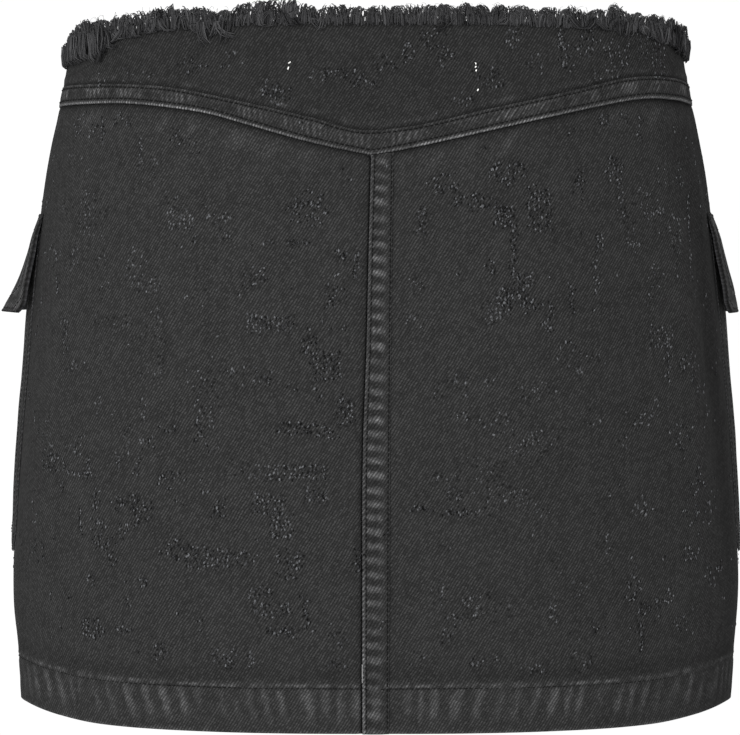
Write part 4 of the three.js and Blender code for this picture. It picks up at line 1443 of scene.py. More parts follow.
@dataclass
class Flap(SidePiece):
    """A pocket flap, which stands off towards its lower edge."""

    flare: float = 15.5
    rear_flare: float = 6.5
    curl: float = 1.62
    layers: float = 2.4
    over_pocket: float = 3.3

    def stand_off(self, at: Places) -> Array:
        """How far out the flap's back lies."""
        along = self.share(at)
        down = at.from_top / (at.from_bottom + at.from_top)
        lowest = self.rear_flare + (self.flare - self.rear_flare) * smoothstep(along, 0, 0.13) - self.layers
        reach = lowest + (self.over_pocket - lowest) * smoothstep(along, 0.7, 1)
        seated = SEAM_GAP + 1.1 * smoothstep(down, 0.05, 0.3) + 1.6 * smoothstep(down, 0.3, 0.9)
        return seated + np.maximum(reach - 3.0, 0) * np.clip(down, 0, 1) ** self.curl

    def outer(self, at: Places) -> Array:
        """The flap's face."""
        soft = 0.15 * uneven(self.seed + 1, at.arc / 12, at.height / 12) * smoothstep(at.from_edge, 0, 8)
        thin = 0.8 * smoothstep(at.from_top, 26, 0) + 0.9 * smoothstep(at.from_top, 9, 0)
        return (
            self.stand_off(at) + self.layers - thin + soft - 0.3 * self.rows(at)
            - 0.7 * rolled(at.from_edge, 0.9)
        )

    def inner(self, at: Places) -> Array:
        """The flap's back."""
        return self.stand_off(at) + 0.5 * rolled(at.from_edge, 0.7)


# The side pieces and the fly
POCKET_REAR = 79.5
POCKET_WIDTH = 150.0
POCKET_TOP = 243.0
POCKET_BOTTOM = 78.0
POCKET_CORNER = 9.0
FLAP_OVERHANG = 3.0
FLAP_TOP = 253.0
FLAP_BOTTOM = 201.5
FLAP_CORNER = 6.0
SHIELD_RIGHT = 22.0
SHIELD_LEFT = -40.0
SHIELD_BOTTOM = 197.0
FLY_WIDTH = 34.0
FLY_CURVE_TOP = 232.0
FLY_CURVE_DROP = 22.0
BUTTON_ACROSS = -9.0
BUTTON_BELOW_EDGE = 17.0


class Fray(NamedTuple):
    """The frayed threads at an angle: their length, and how far out their middle and their tip lie, in mm."""

    angle: float
    length: float
    middle: float
    tip: float


FRAYS = table(
    Fray,
    (-180, 6.5, 1.5, 2.5), (-105, 6, 1, 1.5), (-96, 3.5, 0.6, 0.8), (-88, 2.6, 1, 0.8),
    (-82, 5.4, 1.8, 1.4), (-75, 9.5, 2.2, 2), (-68, 12.4, 2.4, 2.4), (-60, 11.6, 2.2, 2.4),
    (-51, 10.2, 1.6, 2), (-44, 9.4, 1.2, 2), (-38, 10.6, 0.9, 1.6), (-31, 9, 0.8, 1.6),
    (-26, 6.4, 0.7, 1.6), (-21.5, 9.2, 0.6, 1.6), (-15, 11, 0.6, 1.6), (-9, 8, 0.6, 1.4),
    (3, 7.4, 0.6, 1.4), (6, 8.6, 0.6, 1.4), (16.5, 8.6, 0.4, 1.2), (27, 7.6, 0.4, 1.2), (34.5, 9, 0.5, 1.4),
    (40, 8, 0.6, 1.6), (46, 11, 0.8, 2), (53, 7.4, 1, 2), (62, 9, 1.2, 2), (72, 11, 2, 2.4),
    (80, 10, 2.2, 2.4), (87, 6, 2, 2), (96, 4, 1, 1), (105, 6, 1, 1.5), (180, 6.5, 1.5, 2.5),
)


class Tuft(NamedTuple):
    """Threads that fold over the raw edge and hang on its outside, between two angles, in millimetres."""

    start: float
    end: float
    strands: int
    rise: float
    drop: float
    out: float
    lean: float


TUFTS = table(
    Tuft,
    (-87, -80, 190, 4, 1.6, 2.4, 3), (-84, -70, 300, 8, 6.5, 4, 2), (-75, -60, 300, 9, 7.5, 3.4, 3),
    (-61, -55, 70, 5, 10, 2.2, -2), (-56, -44, 90, 6, 2.5, 1.8, 2), (-44, -30, 60, 6, 1.5, 1.4, 1),
    (-31.2, -29.4, 36, 2.5, 10, 1.5, 1.4), (-28.2, -25, 60, 2.5, 9.5, 1.5, 0.6),
    (-22, -10, 60, 6, 2, 1.2, 1), (-9, -7, 6, 3, 4.5, 1.2, 1), (10, 13, 8, 3, 5, 1.2, 1),
    (20, 44, 50, 5, 1.5, 1.2, 1), (46, 52, 20, 5, 5, 1.6, 1.5), (58, 72, 120, 6, 3.6, 2.4, 2),
    (68, 82, 240, 8, 4.6, 3, 2), (78, 89, 190, 6, 1.6, 3.4, 1), (118, 124, 20, 4, 6, 1.6, 2),
    (-124, -117, 24, 4, 7, 1.6, 2), (154, 160, 18, 4, 5, 1.5, 1),
)


class Tack(NamedTuple):
    """A short white stitch, by its place and the way it points in degrees from level."""

    across: float
    height: float
    turn: float
    length: float


TACKS = table(
    Tack,
    (-42.6, 326.2, 35, 1.4), (-43.2, 323.4, 70, 1.4), (48.8, 325.8, -70, 0.9), (48.9, 324.1, 60, 0.9),
    (49.1, 322.3, 70, 0.9), (49.9, 312.6, 60, 1.0),
)


@dataclass
class Pattern:
    """The shapes of the skirt's pieces."""

    form: WornForm
    cut: Cut

    def beside(self, line: Reading, side: float) -> Reading:
        """An edge that keeps half a seam gap to one side of a seam line."""

        def edge(height: Array) -> Array:
            """The angle of the edge."""
            angle = line(height)
            return angle + side * SEAM_GAP / 2 / self.form.per_degree(angle, height)

        return edge

    def beside_yoke_seam(self, side: float) -> Reading:
        """A line that keeps half a seam gap above or below the yoke's seam."""
        return lambda angle: self.cut.yoke_seam(angle) + side * SEAM_GAP / 2

    def panel(self, name: str, left: Reading, right: Reading, top: Reading, **sizes: float) -> BodyPanel:
        """A panel from the hem up."""
        edges = (self.beside(left, 1), self.beside(right, -1), self.cut.hem, top)
        return BodyPanel(self.form, self.cut, name, *edges, fine=32.0, **sizes)

    def panels(self) -> dict[str, BodyPanel]:
        """The two back panels and the two front panels."""
        cut = self.cut
        under_yoke = self.beside_yoke_seam(-1)
        back = {"column": 1.85, "row": 2.7, "fine_row": 1.3}
        front = {"column": 3.2, "row": 4.2, "fine_row": 1.7}
        sides = {turn: cut.side(turn) for turn in (-180, -90, 90, 180)}
        met_right, met_left = cut.side(FRONT_SIDE), cut.side(-FRONT_SIDE)
        rows = {
            "back_left": (
                sides[-90], cut.centre_back, under_yoke, {"seed": 31, "centre_right": True, **back}
            ),
            "back_right": (cut.centre_back, sides[90], under_yoke, {"seed": 41, "centre_left": True, **back}),
            "front_right": (met_right, sides[180], cut.raw_edge, {"seed": 51, **front}),
            "front_left": (sides[-180], met_left, cut.raw_edge, {"seed": 61, **front}),
        }
        names = {key: key.replace("_", "_panel_") for key in rows}
        return {key: self.panel(names[key], *lines, **sizes) for key, (*lines, sizes) in rows.items()}

    def yoke(self) -> Yoke:
        """The V-shaped yoke."""
        left, right = self.beside(self.cut.side(-90), 1), self.beside(self.cut.side(90), -1)
        bottom = self.beside_yoke_seam(1)
        return Yoke(
            self.form, self.cut, "back_yoke", left, right, bottom, self.cut.raw_edge, 1.7, 1.7, seed=71
        )

    def yoke_fell(self) -> YokeFell:
        """The felled band along the yoke."""
        left, right = self.cut.side(-SIDE_END), self.cut.side(SIDE_END)
        bottom = self.beside_yoke_seam(1)
        top = lambda angle: self.cut.upper_row(angle) + YOKE_ROW_INSET
        return YokeFell(self.form, self.cut, "yoke_fell", left, right, bottom, top, 0.9, 0.8, seed=81)

    def centre_back_fell(self) -> UprightFell:
        """The felled band of the centre back seam."""
        cut = self.cut
        edges = (cut.centre_back, cut.centre_back_edge, cut.hem, self.beside_yoke_seam(-1))
        return UprightFell(self.form, cut, "centre_back_fell", *edges, 0.8, 1.1, seed=91)

    def centre_front_fell(self) -> UprightFell:
        """The felled band below the fly."""
        cut = self.cut
        left_edge = lambda height: self.form.angle_across(-FELL_WIDTH + 0 * height, height, True)
        edges = (cut.side(180), left_edge, cut.hem, cut.side(FLY_BOTTOM))
        return UprightFell(self.form, cut, "centre_front_fell", *edges, 0.9, 1.3, seed=92)

    def fly_shield(self) -> InnerLayer:
        """The underlap behind the fly."""
        edge = lambda across: lambda height: self.form.angle_across(across + 0 * height, height, True)
        bottom, top = self.cut.side(SHIELD_BOTTOM), lambda angle: self.cut.raw_edge(angle) - 1
        return InnerLayer(
            self.form, self.cut, "fly_shield", edge(SHIELD_RIGHT), edge(SHIELD_LEFT), bottom, top, 2.5, 3.0
        )

    def hem_fold(self, name: str, left: float, right: float) -> InnerLayer:
        """The hem allowance, turned up inside."""
        face, back = -CLOTH - SEAM_GAP, -CLOTH - SEAM_GAP - HEM_LAYERS
        top = lambda angle: self.cut.hem(angle) + HEM_TURN_UP
        edges = (self.cut.side(left), self.cut.side(right), self.cut.hem, top)
        return InnerLayer(self.form, self.cut, name, *edges, 3.0, 3.0, face=face, back=back)

    def side_edges(
        self, sign: int, overhang: float, bottom: float, top: float, corner: float
    ) -> tuple[Reading, ...]:
        """The four edges of a pocket or a flap, with its lower corners cut off."""
        middle = (POCKET_TOP + POCKET_BOTTOM) / 2
        level = np.array(middle)
        rear = float(self.form.arc(np.array(POCKET_REAR), level)) - overhang
        front = rear + POCKET_WIDTH + 2 * overhang
        turns = [float(self.form.angles_at(np.array(arc), middle)) for arc in (rear, front)]
        first, last = turns if sign > 0 else (-turns[1], -turns[0])

        def lower(angle: Array) -> Array:
            """The lower edge."""
            along = np.clip((angle - first) / (last - first), 0, 1) * POCKET_WIDTH
            return bottom + np.maximum(corner - np.minimum(along, POCKET_WIDTH - along), 0)

        return self.cut.side(first), self.cut.side(last), lower, self.cut.side(top)

    def pocket(self, name: str, sign: int) -> Pocket:
        """A cargo pocket."""
        edges = self.side_edges(sign, 0, POCKET_BOTTOM, POCKET_TOP, POCKET_CORNER)
        return Pocket(self.form, self.cut, name, *edges, 2.0, 1.9, sign=sign, seed=101 + sign)

    def flap(self, name: str, sign: int, **sizes: float) -> Flap:
        """A pocket flap."""
        edges = self.side_edges(sign, FLAP_OVERHANG, FLAP_BOTTOM, FLAP_TOP, FLAP_CORNER)
        # The flap's worn edges, and the painted shade along them.
        worn = {"rubbed": 0.14, "rub_inset": 3.2, "shaded": 0.85}
        return Flap(self.form, self.cut, name, *edges, 1.4, 1.4, sign=sign, seed=111 + sign, **worn, **sizes)


@dataclass
class Rows:
    """Rows of stitches, as lines with the directions out of the cloth."""

    lines: list[Array] = field(default_factory=list)
    outs: list[Array] = field(default_factory=list)

    def add(self, line: Array, out: Array) -> None:
        """Adds a row."""
        self.lines.append(line)
        self.outs.append(out)

    def build(
        self, name: str, growers: Growers, material: Material, pitch: float = 2.6, thick: float = 0.8
    ) -> Object:
        """Sews the rows.

        Args:
            name: the name of the object.
            growers: the trees.
            material: the thread's finish.
            pitch: the length of a stitch with its gap, in millimetres.
            thick: the thickness of the thread, in millimetres.

        Returns:
            The stitches.
        """
        tones = [np.full(len(line), 0.45) for line in self.lines]
        mesh = wire(name, self.lines, out=self.outs, tone=tones)
        sizes = {"pitch": pitch * MM, "length": 0.8 * pitch * MM, "thickness": thick * MM}
        return finished(grown(name, mesh, growers.stitches, material, **sizes), Slot.YARN)


@dataclass
class Nicks:
    """The nicked threads: pale tufts of fluff, each with a dark disc beside it, painted as the shade in its
    hole.
    """

    form: WornForm
    surface: Callable[[Array, Array], Array]
    seed: int = 5
    dice: Dice = field(init=False)
    angles: list[Array] = field(default_factory=list)
    heights: list[Array] = field(default_factory=list)

    def __post_init__(self) -> None:
        """Seeds the chances."""
        self.dice = np.random.default_rng(self.seed)

    def spread(self, patch: Patch) -> tuple[Array, Array]:
        """The nicks of a patch, from its middle, in millimetres across and up."""
        dice, count = self.dice, patch.count
        if patch.layout is Layout.CHAIN_DOWN:
            up = np.linspace(-0.5, 0.5, count) * patch.tall
            return dice.normal(0, 0.18 * patch.wide, count), up + dice.normal(0, 0.4, count)
        if patch.layout is Layout.CHAIN_ROUND:
            across = np.linspace(-0.5, 0.5, count) * patch.wide
            return across + dice.normal(0, 0.4, count), dice.normal(0, 0.18 * patch.tall, count)
        if patch.layout is Layout.GRID:
            columns = max(2, round(math.sqrt(count * patch.wide / patch.tall)))
            place = np.arange(count)
            rows = math.ceil(count / columns)
            across = ((place % columns + 0.5) / columns - 0.5) * patch.wide
            up = ((place // columns + 0.5) / rows - 0.5) * patch.tall
            return across + dice.normal(0, 0.45, count), up + dice.normal(0, 0.45, count)
        turn = dice.uniform(0, 2 * math.pi, count)
        far = np.sqrt(dice.uniform(0, 1, count)) * 0.55
        return far * patch.wide * np.cos(turn), far * patch.tall * np.sin(turn)

    def add(self, patches: Sequence[Patch], front: bool = False) -> None:
        """Adds patches that are placed from the centre back, or from the centre front."""
        for patch in patches:
            across, up = self.spread(patch._replace(count=round(BEADS_A_NICK * patch.count)))
            height = patch.height + up
            self.angles.append(wrapped(self.form.angle_across(patch.across + across, height, front)))
            self.heights.append(height)

    def add_strays(self, count: int) -> None:
        """Adds single nicks and small groups all round."""
        middle = self.dice.uniform(-180, 180, count)
        level = self.dice.uniform(30, 300, count)
        for angle, height in zip(middle, level):
            size = int(self.dice.integers(1, 4))
            self.angles.append(wrapped(angle + self.dice.normal(0, 0.8, size)))
            self.heights.append(height + self.dice.normal(0, 2.2, size))

    def density(self, at: Places) -> Array:
        """How thickly nicks lie at the places of a grid, from 0 to 1."""
        angle, height = np.concatenate(self.angles), np.concatenate(self.heights)
        total = np.zeros(at.angle.shape)
        turn = wrapped(at.angle)
        for a, h in zip(angle, height):
            near = (np.abs(at.height - h) < 5) & (np.abs(turn - a) < 2.4)
            if near.any():
                apart = (turn[near] - a) * 2.4
                total[near] += np.exp(-(apart**2 + (at.height[near] - h) ** 2) / 5.0)
        return np.clip(total * 0.45, 0, 1)

    def mesh(self, name: str, angle: Array, height: Array, out: Array, size: Array, lean: Array) -> Mesh:
        """Points that carry what a tuft reads."""
        point = self.form.point(angle, height, self.surface(angle, height) + out)
        away = self.form.outward(angle, height)
        round_it = self.form.point(angle + 0.2, height, 0) - self.form.point(angle - 0.2, height, 0)
        up = np.cross(away, round_it)
        along = up * np.cos(lean)[:, None] + round_it * np.sin(lean)[:, None]
        tone = self.dice.uniform(0, 1, len(angle)) ** 1.4
        mesh = bpy.data.meshes.new(name)
        mesh.from_pydata(in_metres(point).tolist(), [], [])
        for layer, values in (("out", away), ("along", along), ("size", size * MM), ("tone", tone)):
            store(mesh, layer, values)
        return mesh

    def build(self, growers: Growers, finishes: Finishes) -> dict[str, tuple[Object, Object]]:
        """Makes the tufts and the dark discs of painted hole shade.

        Args:
            growers: the trees.
            finishes: the finishes.

        Returns:
            For "back" and "front", the tufts and the dark discs of painted hole shade.
        """
        angle, height = np.concatenate(self.angles), np.concatenate(self.heights)
        count, dice = len(angle), self.dice
        LOG.info("%d nicks", count)
        made = {}
        for side, chosen in (("back", np.abs(angle) <= 90), ("front", np.abs(angle) > 90)):
            a, h = angle[chosen], height[chosen]
            count = len(a)
            lean = dice.normal(0.25, 0.35, count)
            spans = ((0.9, 2.2), (0.55, 1.15), (0.2, 0.45))
            size = np.stack([dice.uniform(*span, count) for span in spans], axis=1)
            tufts = self.mesh(f"nick_tufts_{side}", a, h, 0.08 + 0 * a, size, lean)
            # Painted shadow: a flat dark disc in the sewing thread's finish beside each tuft stands in for
            # the shade in its hole.
            beside = a + dice.choice([-1, 1], count) * dice.uniform(0.25, 0.42, count)
            shade_disc_size = [dice.uniform(*span, count) for span in ((0.8, 1.8), (0.4, 0.8))]
            shade_disc_size = np.stack([*shade_disc_size, 0.14 + 0 * a], axis=1)
            level = h + dice.normal(0, 0.5, count)
            hole_shades = self.mesh(f"nick_hole_shade_discs_{side}", beside, level, 0.02 + 0 * a, shade_disc_size, lean)
            fluff = finished(grown(tufts.name, tufts, growers.tufts, finishes.fluff), Slot.YARN)
            hole_shade_discs = finished(grown(hole_shades.name, hole_shades, growers.hole_shades, finishes.thread), Slot.DENIM)
            made[side] = (fluff, hole_shade_discs)
        return made


def far_patches(count: int) -> list[Patch]:
    """Patches of the hidden front, like the back's, from the centre front.

    Args:
        count: how many there are.

    Returns:
        The patches.
    """
    dice = np.random.default_rng(77)
    layouts = (Layout.SCATTER, Layout.SCATTER, Layout.GRID, Layout.CHAIN_DOWN)
    made = []
    for _ in range(count):
        layout = layouts[int(dice.integers(len(layouts)))]
        wide, tall = dice.uniform(6, 18), dice.uniform(7, 18)
        if layout is Layout.CHAIN_DOWN:
            wide, tall = 5, dice.uniform(10, 20)
        nicks = max(3, round(wide * tall * dice.uniform(0.05, 0.1)))
        made.append(Patch(dice.uniform(-128, 128), dice.uniform(38, 305), wide, tall, nicks, layout))
    return made


@dataclass
class FrayedEdge:
    """The frayed raw edge: bundles of combed strands that come to points, with loose threads among them."""

    form: WornForm
    cut: Cut
    name: str
    start: float
    end: float
    bundle: float
    strands: int
    seed: int
    felt: float = 2.8
    level: float = 345.0

    def read(self, column: str, angle: Array) -> Array:
        """A column of the table of frays at an angle."""
        return smooth_line(FRAYS, "angle", column)(wrapped(angle))

    def ends(self) -> tuple[float, float]:
        """How far round the body the edge starts and ends."""
        return tuple(float(self.form.arc(np.array(a), np.array(self.level))) for a in (self.start, self.end))

    def spots(self, dice: Dice, count: int) -> Array:
        """Places round the edge, closer together at the side tufts."""
        first, last = self.ends()
        arc = np.linspace(first, last, 2000)
        angle = self.form.angles_at(arc, self.level)
        crowd = 1 + 1.1 * bump_at(angle + 73, 12) + 0.6 * bump_at(angle - 76, 9)
        share = np.cumsum(crowd) / crowd.sum()
        at = (np.arange(count) + dice.uniform(0.15, 0.85, count)) / count
        return np.interp(at, share, arc)

    def grow(
        self, arc: Array, reach: Array, root: Array, out: Array, push: Array, turn: Array, t: Array
    ) -> Array:
        """Points of strands that leave the cloth below its edge and follow the table of frays.

        Args:
            arc: how far round the body each point lies.
            reach: each strand's share of the full length.
            root: how far above the raw edge each strand starts.
            out: how far out it starts.
            push: how much further out its tip lies.
            turn: how far each strand bends over, in radians.
            t: the share along the strand of each point.

        Returns:
            The points.
        """
        first, last = self.ends()
        angles = self.form.angles_at(np.clip(arc, first + 0.1, last - 0.1), self.level)
        length, middle, tip = (self.read(name, angles[:, :1]) * reach for name in ("length", "middle", "tip"))
        height = self.cut.raw_edge(angles) + root * (1 - t) + length * np.sin(turn * t)
        away = out * (1 - 0.6 * t) + middle * 4 * t * (1 - t) + tip * t * (2 * t - 1) + push * t
        return self.form.point(angles, height, away)

    def strand_lines(self, dice: Dice) -> tuple[Array, Array, Array]:
        """The strands of every bundle: their points, thicknesses and tones."""
        first, last = self.ends()
        bundles = round((last - first) / self.bundle)
        middles = self.spots(dice, bundles)
        width = self.bundle * dice.uniform(1.1, 2.6, bundles)
        lean = dice.choice([-1, 1], bundles) * dice.uniform(0.8, 3.2, bundles)
        tall, push = dice.uniform(0.78, 1.06, bundles), dice.normal(0, 0.6, bundles)
        tint = dice.uniform(-0.12, 0.16, bundles)
        which = np.repeat(np.arange(bundles), self.strands)
        count = len(which)
        column = lambda values: values[:, None]
        side, depth = dice.uniform(-1, 1, count), dice.uniform(0, 1, count)
        t = np.linspace(0, 1, 6)[None, :]
        short = np.where(dice.uniform(0, 1, count) < 0.4, dice.uniform(0.5, 0.95, count), 1.0)
        reach = column(tall[which] * (1 - 0.12 * side**2) * dice.uniform(0.85, 1.06, count) * short)
        turn = column(dice.uniform(1.5, 2.7, count))
        curl = column(dice.normal(0, 0.55, count)) * np.sin(2.8 * t + column(dice.uniform(0, 6, count)))
        arc = column(middles[which]) + column(side * width[which] / 2) * (1 - 0.3 * t**1.5)
        leans = column(lean[which] + dice.normal(0, 0.6, count))
        arc = arc + leans * (1 - np.cos(turn * t)) * reach + curl * t
        root = column(np.where(depth > 0.45, dice.uniform(-2.8, -0.2, count), -0.8))
        within = -1.7 * (0.45 - depth) / 0.45 - 0.1
        out = column(np.where(depth > 0.45, dice.uniform(0.1, 0.55, count), within))
        points = self.grow(arc, reach, root, out, column(push[which] + dice.normal(0, 0.4, count)), turn, t)
        thick = column(dice.uniform(0.24, 0.5, count)) * (1 - 0.5 * t**2)
        tone = 0.42 + tint[which] + dice.normal(0, 0.2, count)
        tone = column(tone) * (0.62 + 0.5 * t)
        return points, thick, np.clip(tone, 0, 1)

    def felt_lines(self, dice: Dice) -> tuple[Array, Array, Array]:
        """Short matted strands at the foot of the bundles."""
        first, last = self.ends()
        count = round((last - first) * self.felt)
        t = np.linspace(0, 1, 4)[None, :]
        arc = self.spots(dice, count)[:, None] + dice.normal(0, 2.4, count)[:, None] * t
        arc = arc + dice.normal(0, 0.5, count)[:, None] * np.sin(math.pi * t)
        reach = dice.uniform(0.3, 0.8, count)[:, None]
        root = dice.uniform(-2.4, 0.6, count)[:, None]
        out = dice.uniform(-1.3, 0.6, count)[:, None]
        turn = dice.uniform(1.2, 2.8, count)[:, None]
        points = self.grow(arc, reach, root, out, dice.normal(0.2, 0.5, count)[:, None], turn, t)
        thick = dice.uniform(0.25, 0.5, count)[:, None] * (1 - 0.4 * t)
        tone = np.clip(dice.normal(0.34, 0.16, count), 0, 1)[:, None] + 0 * t
        return points, thick, tone

    def tuft_lines(self, dice: Dice) -> tuple[list[Array], list[Array], list[Array]]:
        """The strands that hang over the outside of the raw edge."""
        points, thick, tone = [], [], []
        t = np.linspace(0, 1, 6)
        for tuft in TUFTS:
            if not self.start < (tuft.start + tuft.end) / 2 < self.end:
                continue
            wisps = max(2, tuft.strands // 12)
            roots = dice.uniform(tuft.start, tuft.end, wisps)
            sways, lengths = dice.normal(tuft.lean, 3.6, wisps), dice.uniform(0.4, 1.05, wisps)
            hooks, tints = dice.normal(0, 2.8, wisps), dice.normal(0, 0.12, wisps)
            for i in range(tuft.strands):
                wisp = i % wisps
                per = float(self.form.per_degree(np.array(roots[wisp]), np.array(self.level)))
                start = roots[wisp] + dice.normal(0, 0.9) / per
                ripple = dice.normal(0, 0.5) * np.sin(3 * t + dice.uniform(0, 6))
                wave = hooks[wisp] * np.sin(math.pi * t) + ripple
                sway = sways[wisp] * t**1.3 + wave + dice.normal(0, 0.6) * t
                angle = start + sway / per
                size = lengths[wisp] * dice.uniform(0.75, 1.1)
                if angle.min() < self.start or angle.max() > self.end:
                    continue
                bend = np.sin(math.pi * np.clip(1.4 * t, 0, 1))
                drop = tuft.drop * smoothstep(t, 0.25, 1.05)
                height = self.cut.raw_edge(angle) - 1.2 + size * (tuft.rise * bend - drop)
                out = dice.uniform(-0.6, 0.5) * (1 - t) + size * tuft.out * np.sin(math.pi * t**0.8) ** 0.8
                out = out + dice.uniform(0.3, 1.4) * t
                points.append(self.form.point(angle, height, out))
                thick.append(dice.uniform(0.2, 0.42) * (1 - 0.5 * t**2))
                shade = 0.33 + tints[wisp] + dice.normal(0, 0.2)
                tone.append(np.clip(shade * (0.7 + 0.4 * np.sin(math.pi * t)), 0, 1))
        return points, thick, tone

    def stray_lines(self, dice: Dice) -> tuple[list[Array], list[Array], list[Array]]:
        """Thin single threads that stand out of the edge."""
        points, thick, tone = [], [], []
        t = np.linspace(0, 1, 7)
        for _ in range(round((self.end - self.start) / 1.8)):
            start = dice.uniform(self.start + 1, self.end - 1)
            angle = start + dice.normal(0, 1.4) * t**1.4 + dice.normal(0, 0.5) * np.sin(5 * t)
            angle = np.clip(angle, self.start, self.end)
            length = self.read("length", np.array(start)) * dice.uniform(0.8, 1.12)
            height = self.cut.raw_edge(angle) + length * np.sin(dice.uniform(1.4, 2.6) * t)
            out = (self.read("tip", np.array(start)) + dice.normal(0, 0.9)) * t**1.3
            points.append(self.form.point(angle, height, out))
            thick.append(0.1 * (1 - 0.4 * t))
            tone.append(np.full(7, dice.uniform(0.3, 0.85)))
        return points, thick, tone

    def build(self, growers: Growers, finishes: Finishes) -> Object:
        """Makes the frayed edge, in the place of its solid."""
        dice = np.random.default_rng(self.seed)
        kinds = (self.strand_lines, self.felt_lines, self.tuft_lines, self.stray_lines)
        parts = [lines_of(dice) for lines_of in kinds]
        lines, widths, tones = ([row for part in parts for row in part[i]] for i in range(3))
        mesh = wire(self.name, lines, thick=[width * MM for width in widths], tone=tones)
        return finished(grown(self.name, mesh, growers.yarns, finishes.fray), Slot.YARN, self.name)


def waist_button(form: WornForm, cut: Cut, material: Material) -> Object:
    """The shank button at the top of the fly, a dished head turned on its own axis."""
    level = np.array(float(cut.raw_edge(np.array(180.0))) - BUTTON_BELOW_EDGE)
    angle = form.angle_across(np.array(BUTTON_ACROSS), level, True)
    profile = np.array(
        [
            (0, 0), (4.6, 0), (4.8, 0.3), (4.4, 0.9), (7.6, 1.05), (8.2, 1.3), (8.5, 1.8), (8.5, 3.4),
            (8.3, 3.85), (7.9, 4.2), (7.2, 4.25), (6.9, 4.05), (6.5, 3.6), (6.1, 3.35), (5.2, 3.3),
            (5.0, 3.5), (4.7, 3.55), (4.5, 3.35), (2.6, 3.3), (2.2, 3.45), (1.4, 3.7), (0, 3.78),
        ]
    )
    turns = np.linspace(0, 2 * math.pi, 49)[:-1]
    out = Vector(form.outward(angle, level))
    turn = np.array(Vector((0, 0, 1)).rotation_difference(out).to_matrix())
    ring = profile[None, :, 0] * np.cos(turns)[:, None], profile[None, :, 0] * np.sin(turns)[:, None]
    local = np.stack([*ring, np.broadcast_to(profile[:, 1], ring[0].shape)], axis=-1)
    points = (local @ turn.T + form.point(angle, level, SEAM_GAP)).reshape(-1, 3)
    index = np.arange(len(points)).reshape(len(turns), -1)
    ahead = np.roll(index, -1, axis=0)
    faces = np.stack([index[:, :-1], ahead[:, :-1], ahead[:, 1:], index[:, 1:]], axis=-1).reshape(-1, 4)
    mesh = mesh_of("waist_button", points, faces, 40)
    mesh.materials.append(material)
    return finished(new_object("waist_button", mesh), Slot.METAL, "waist_button")


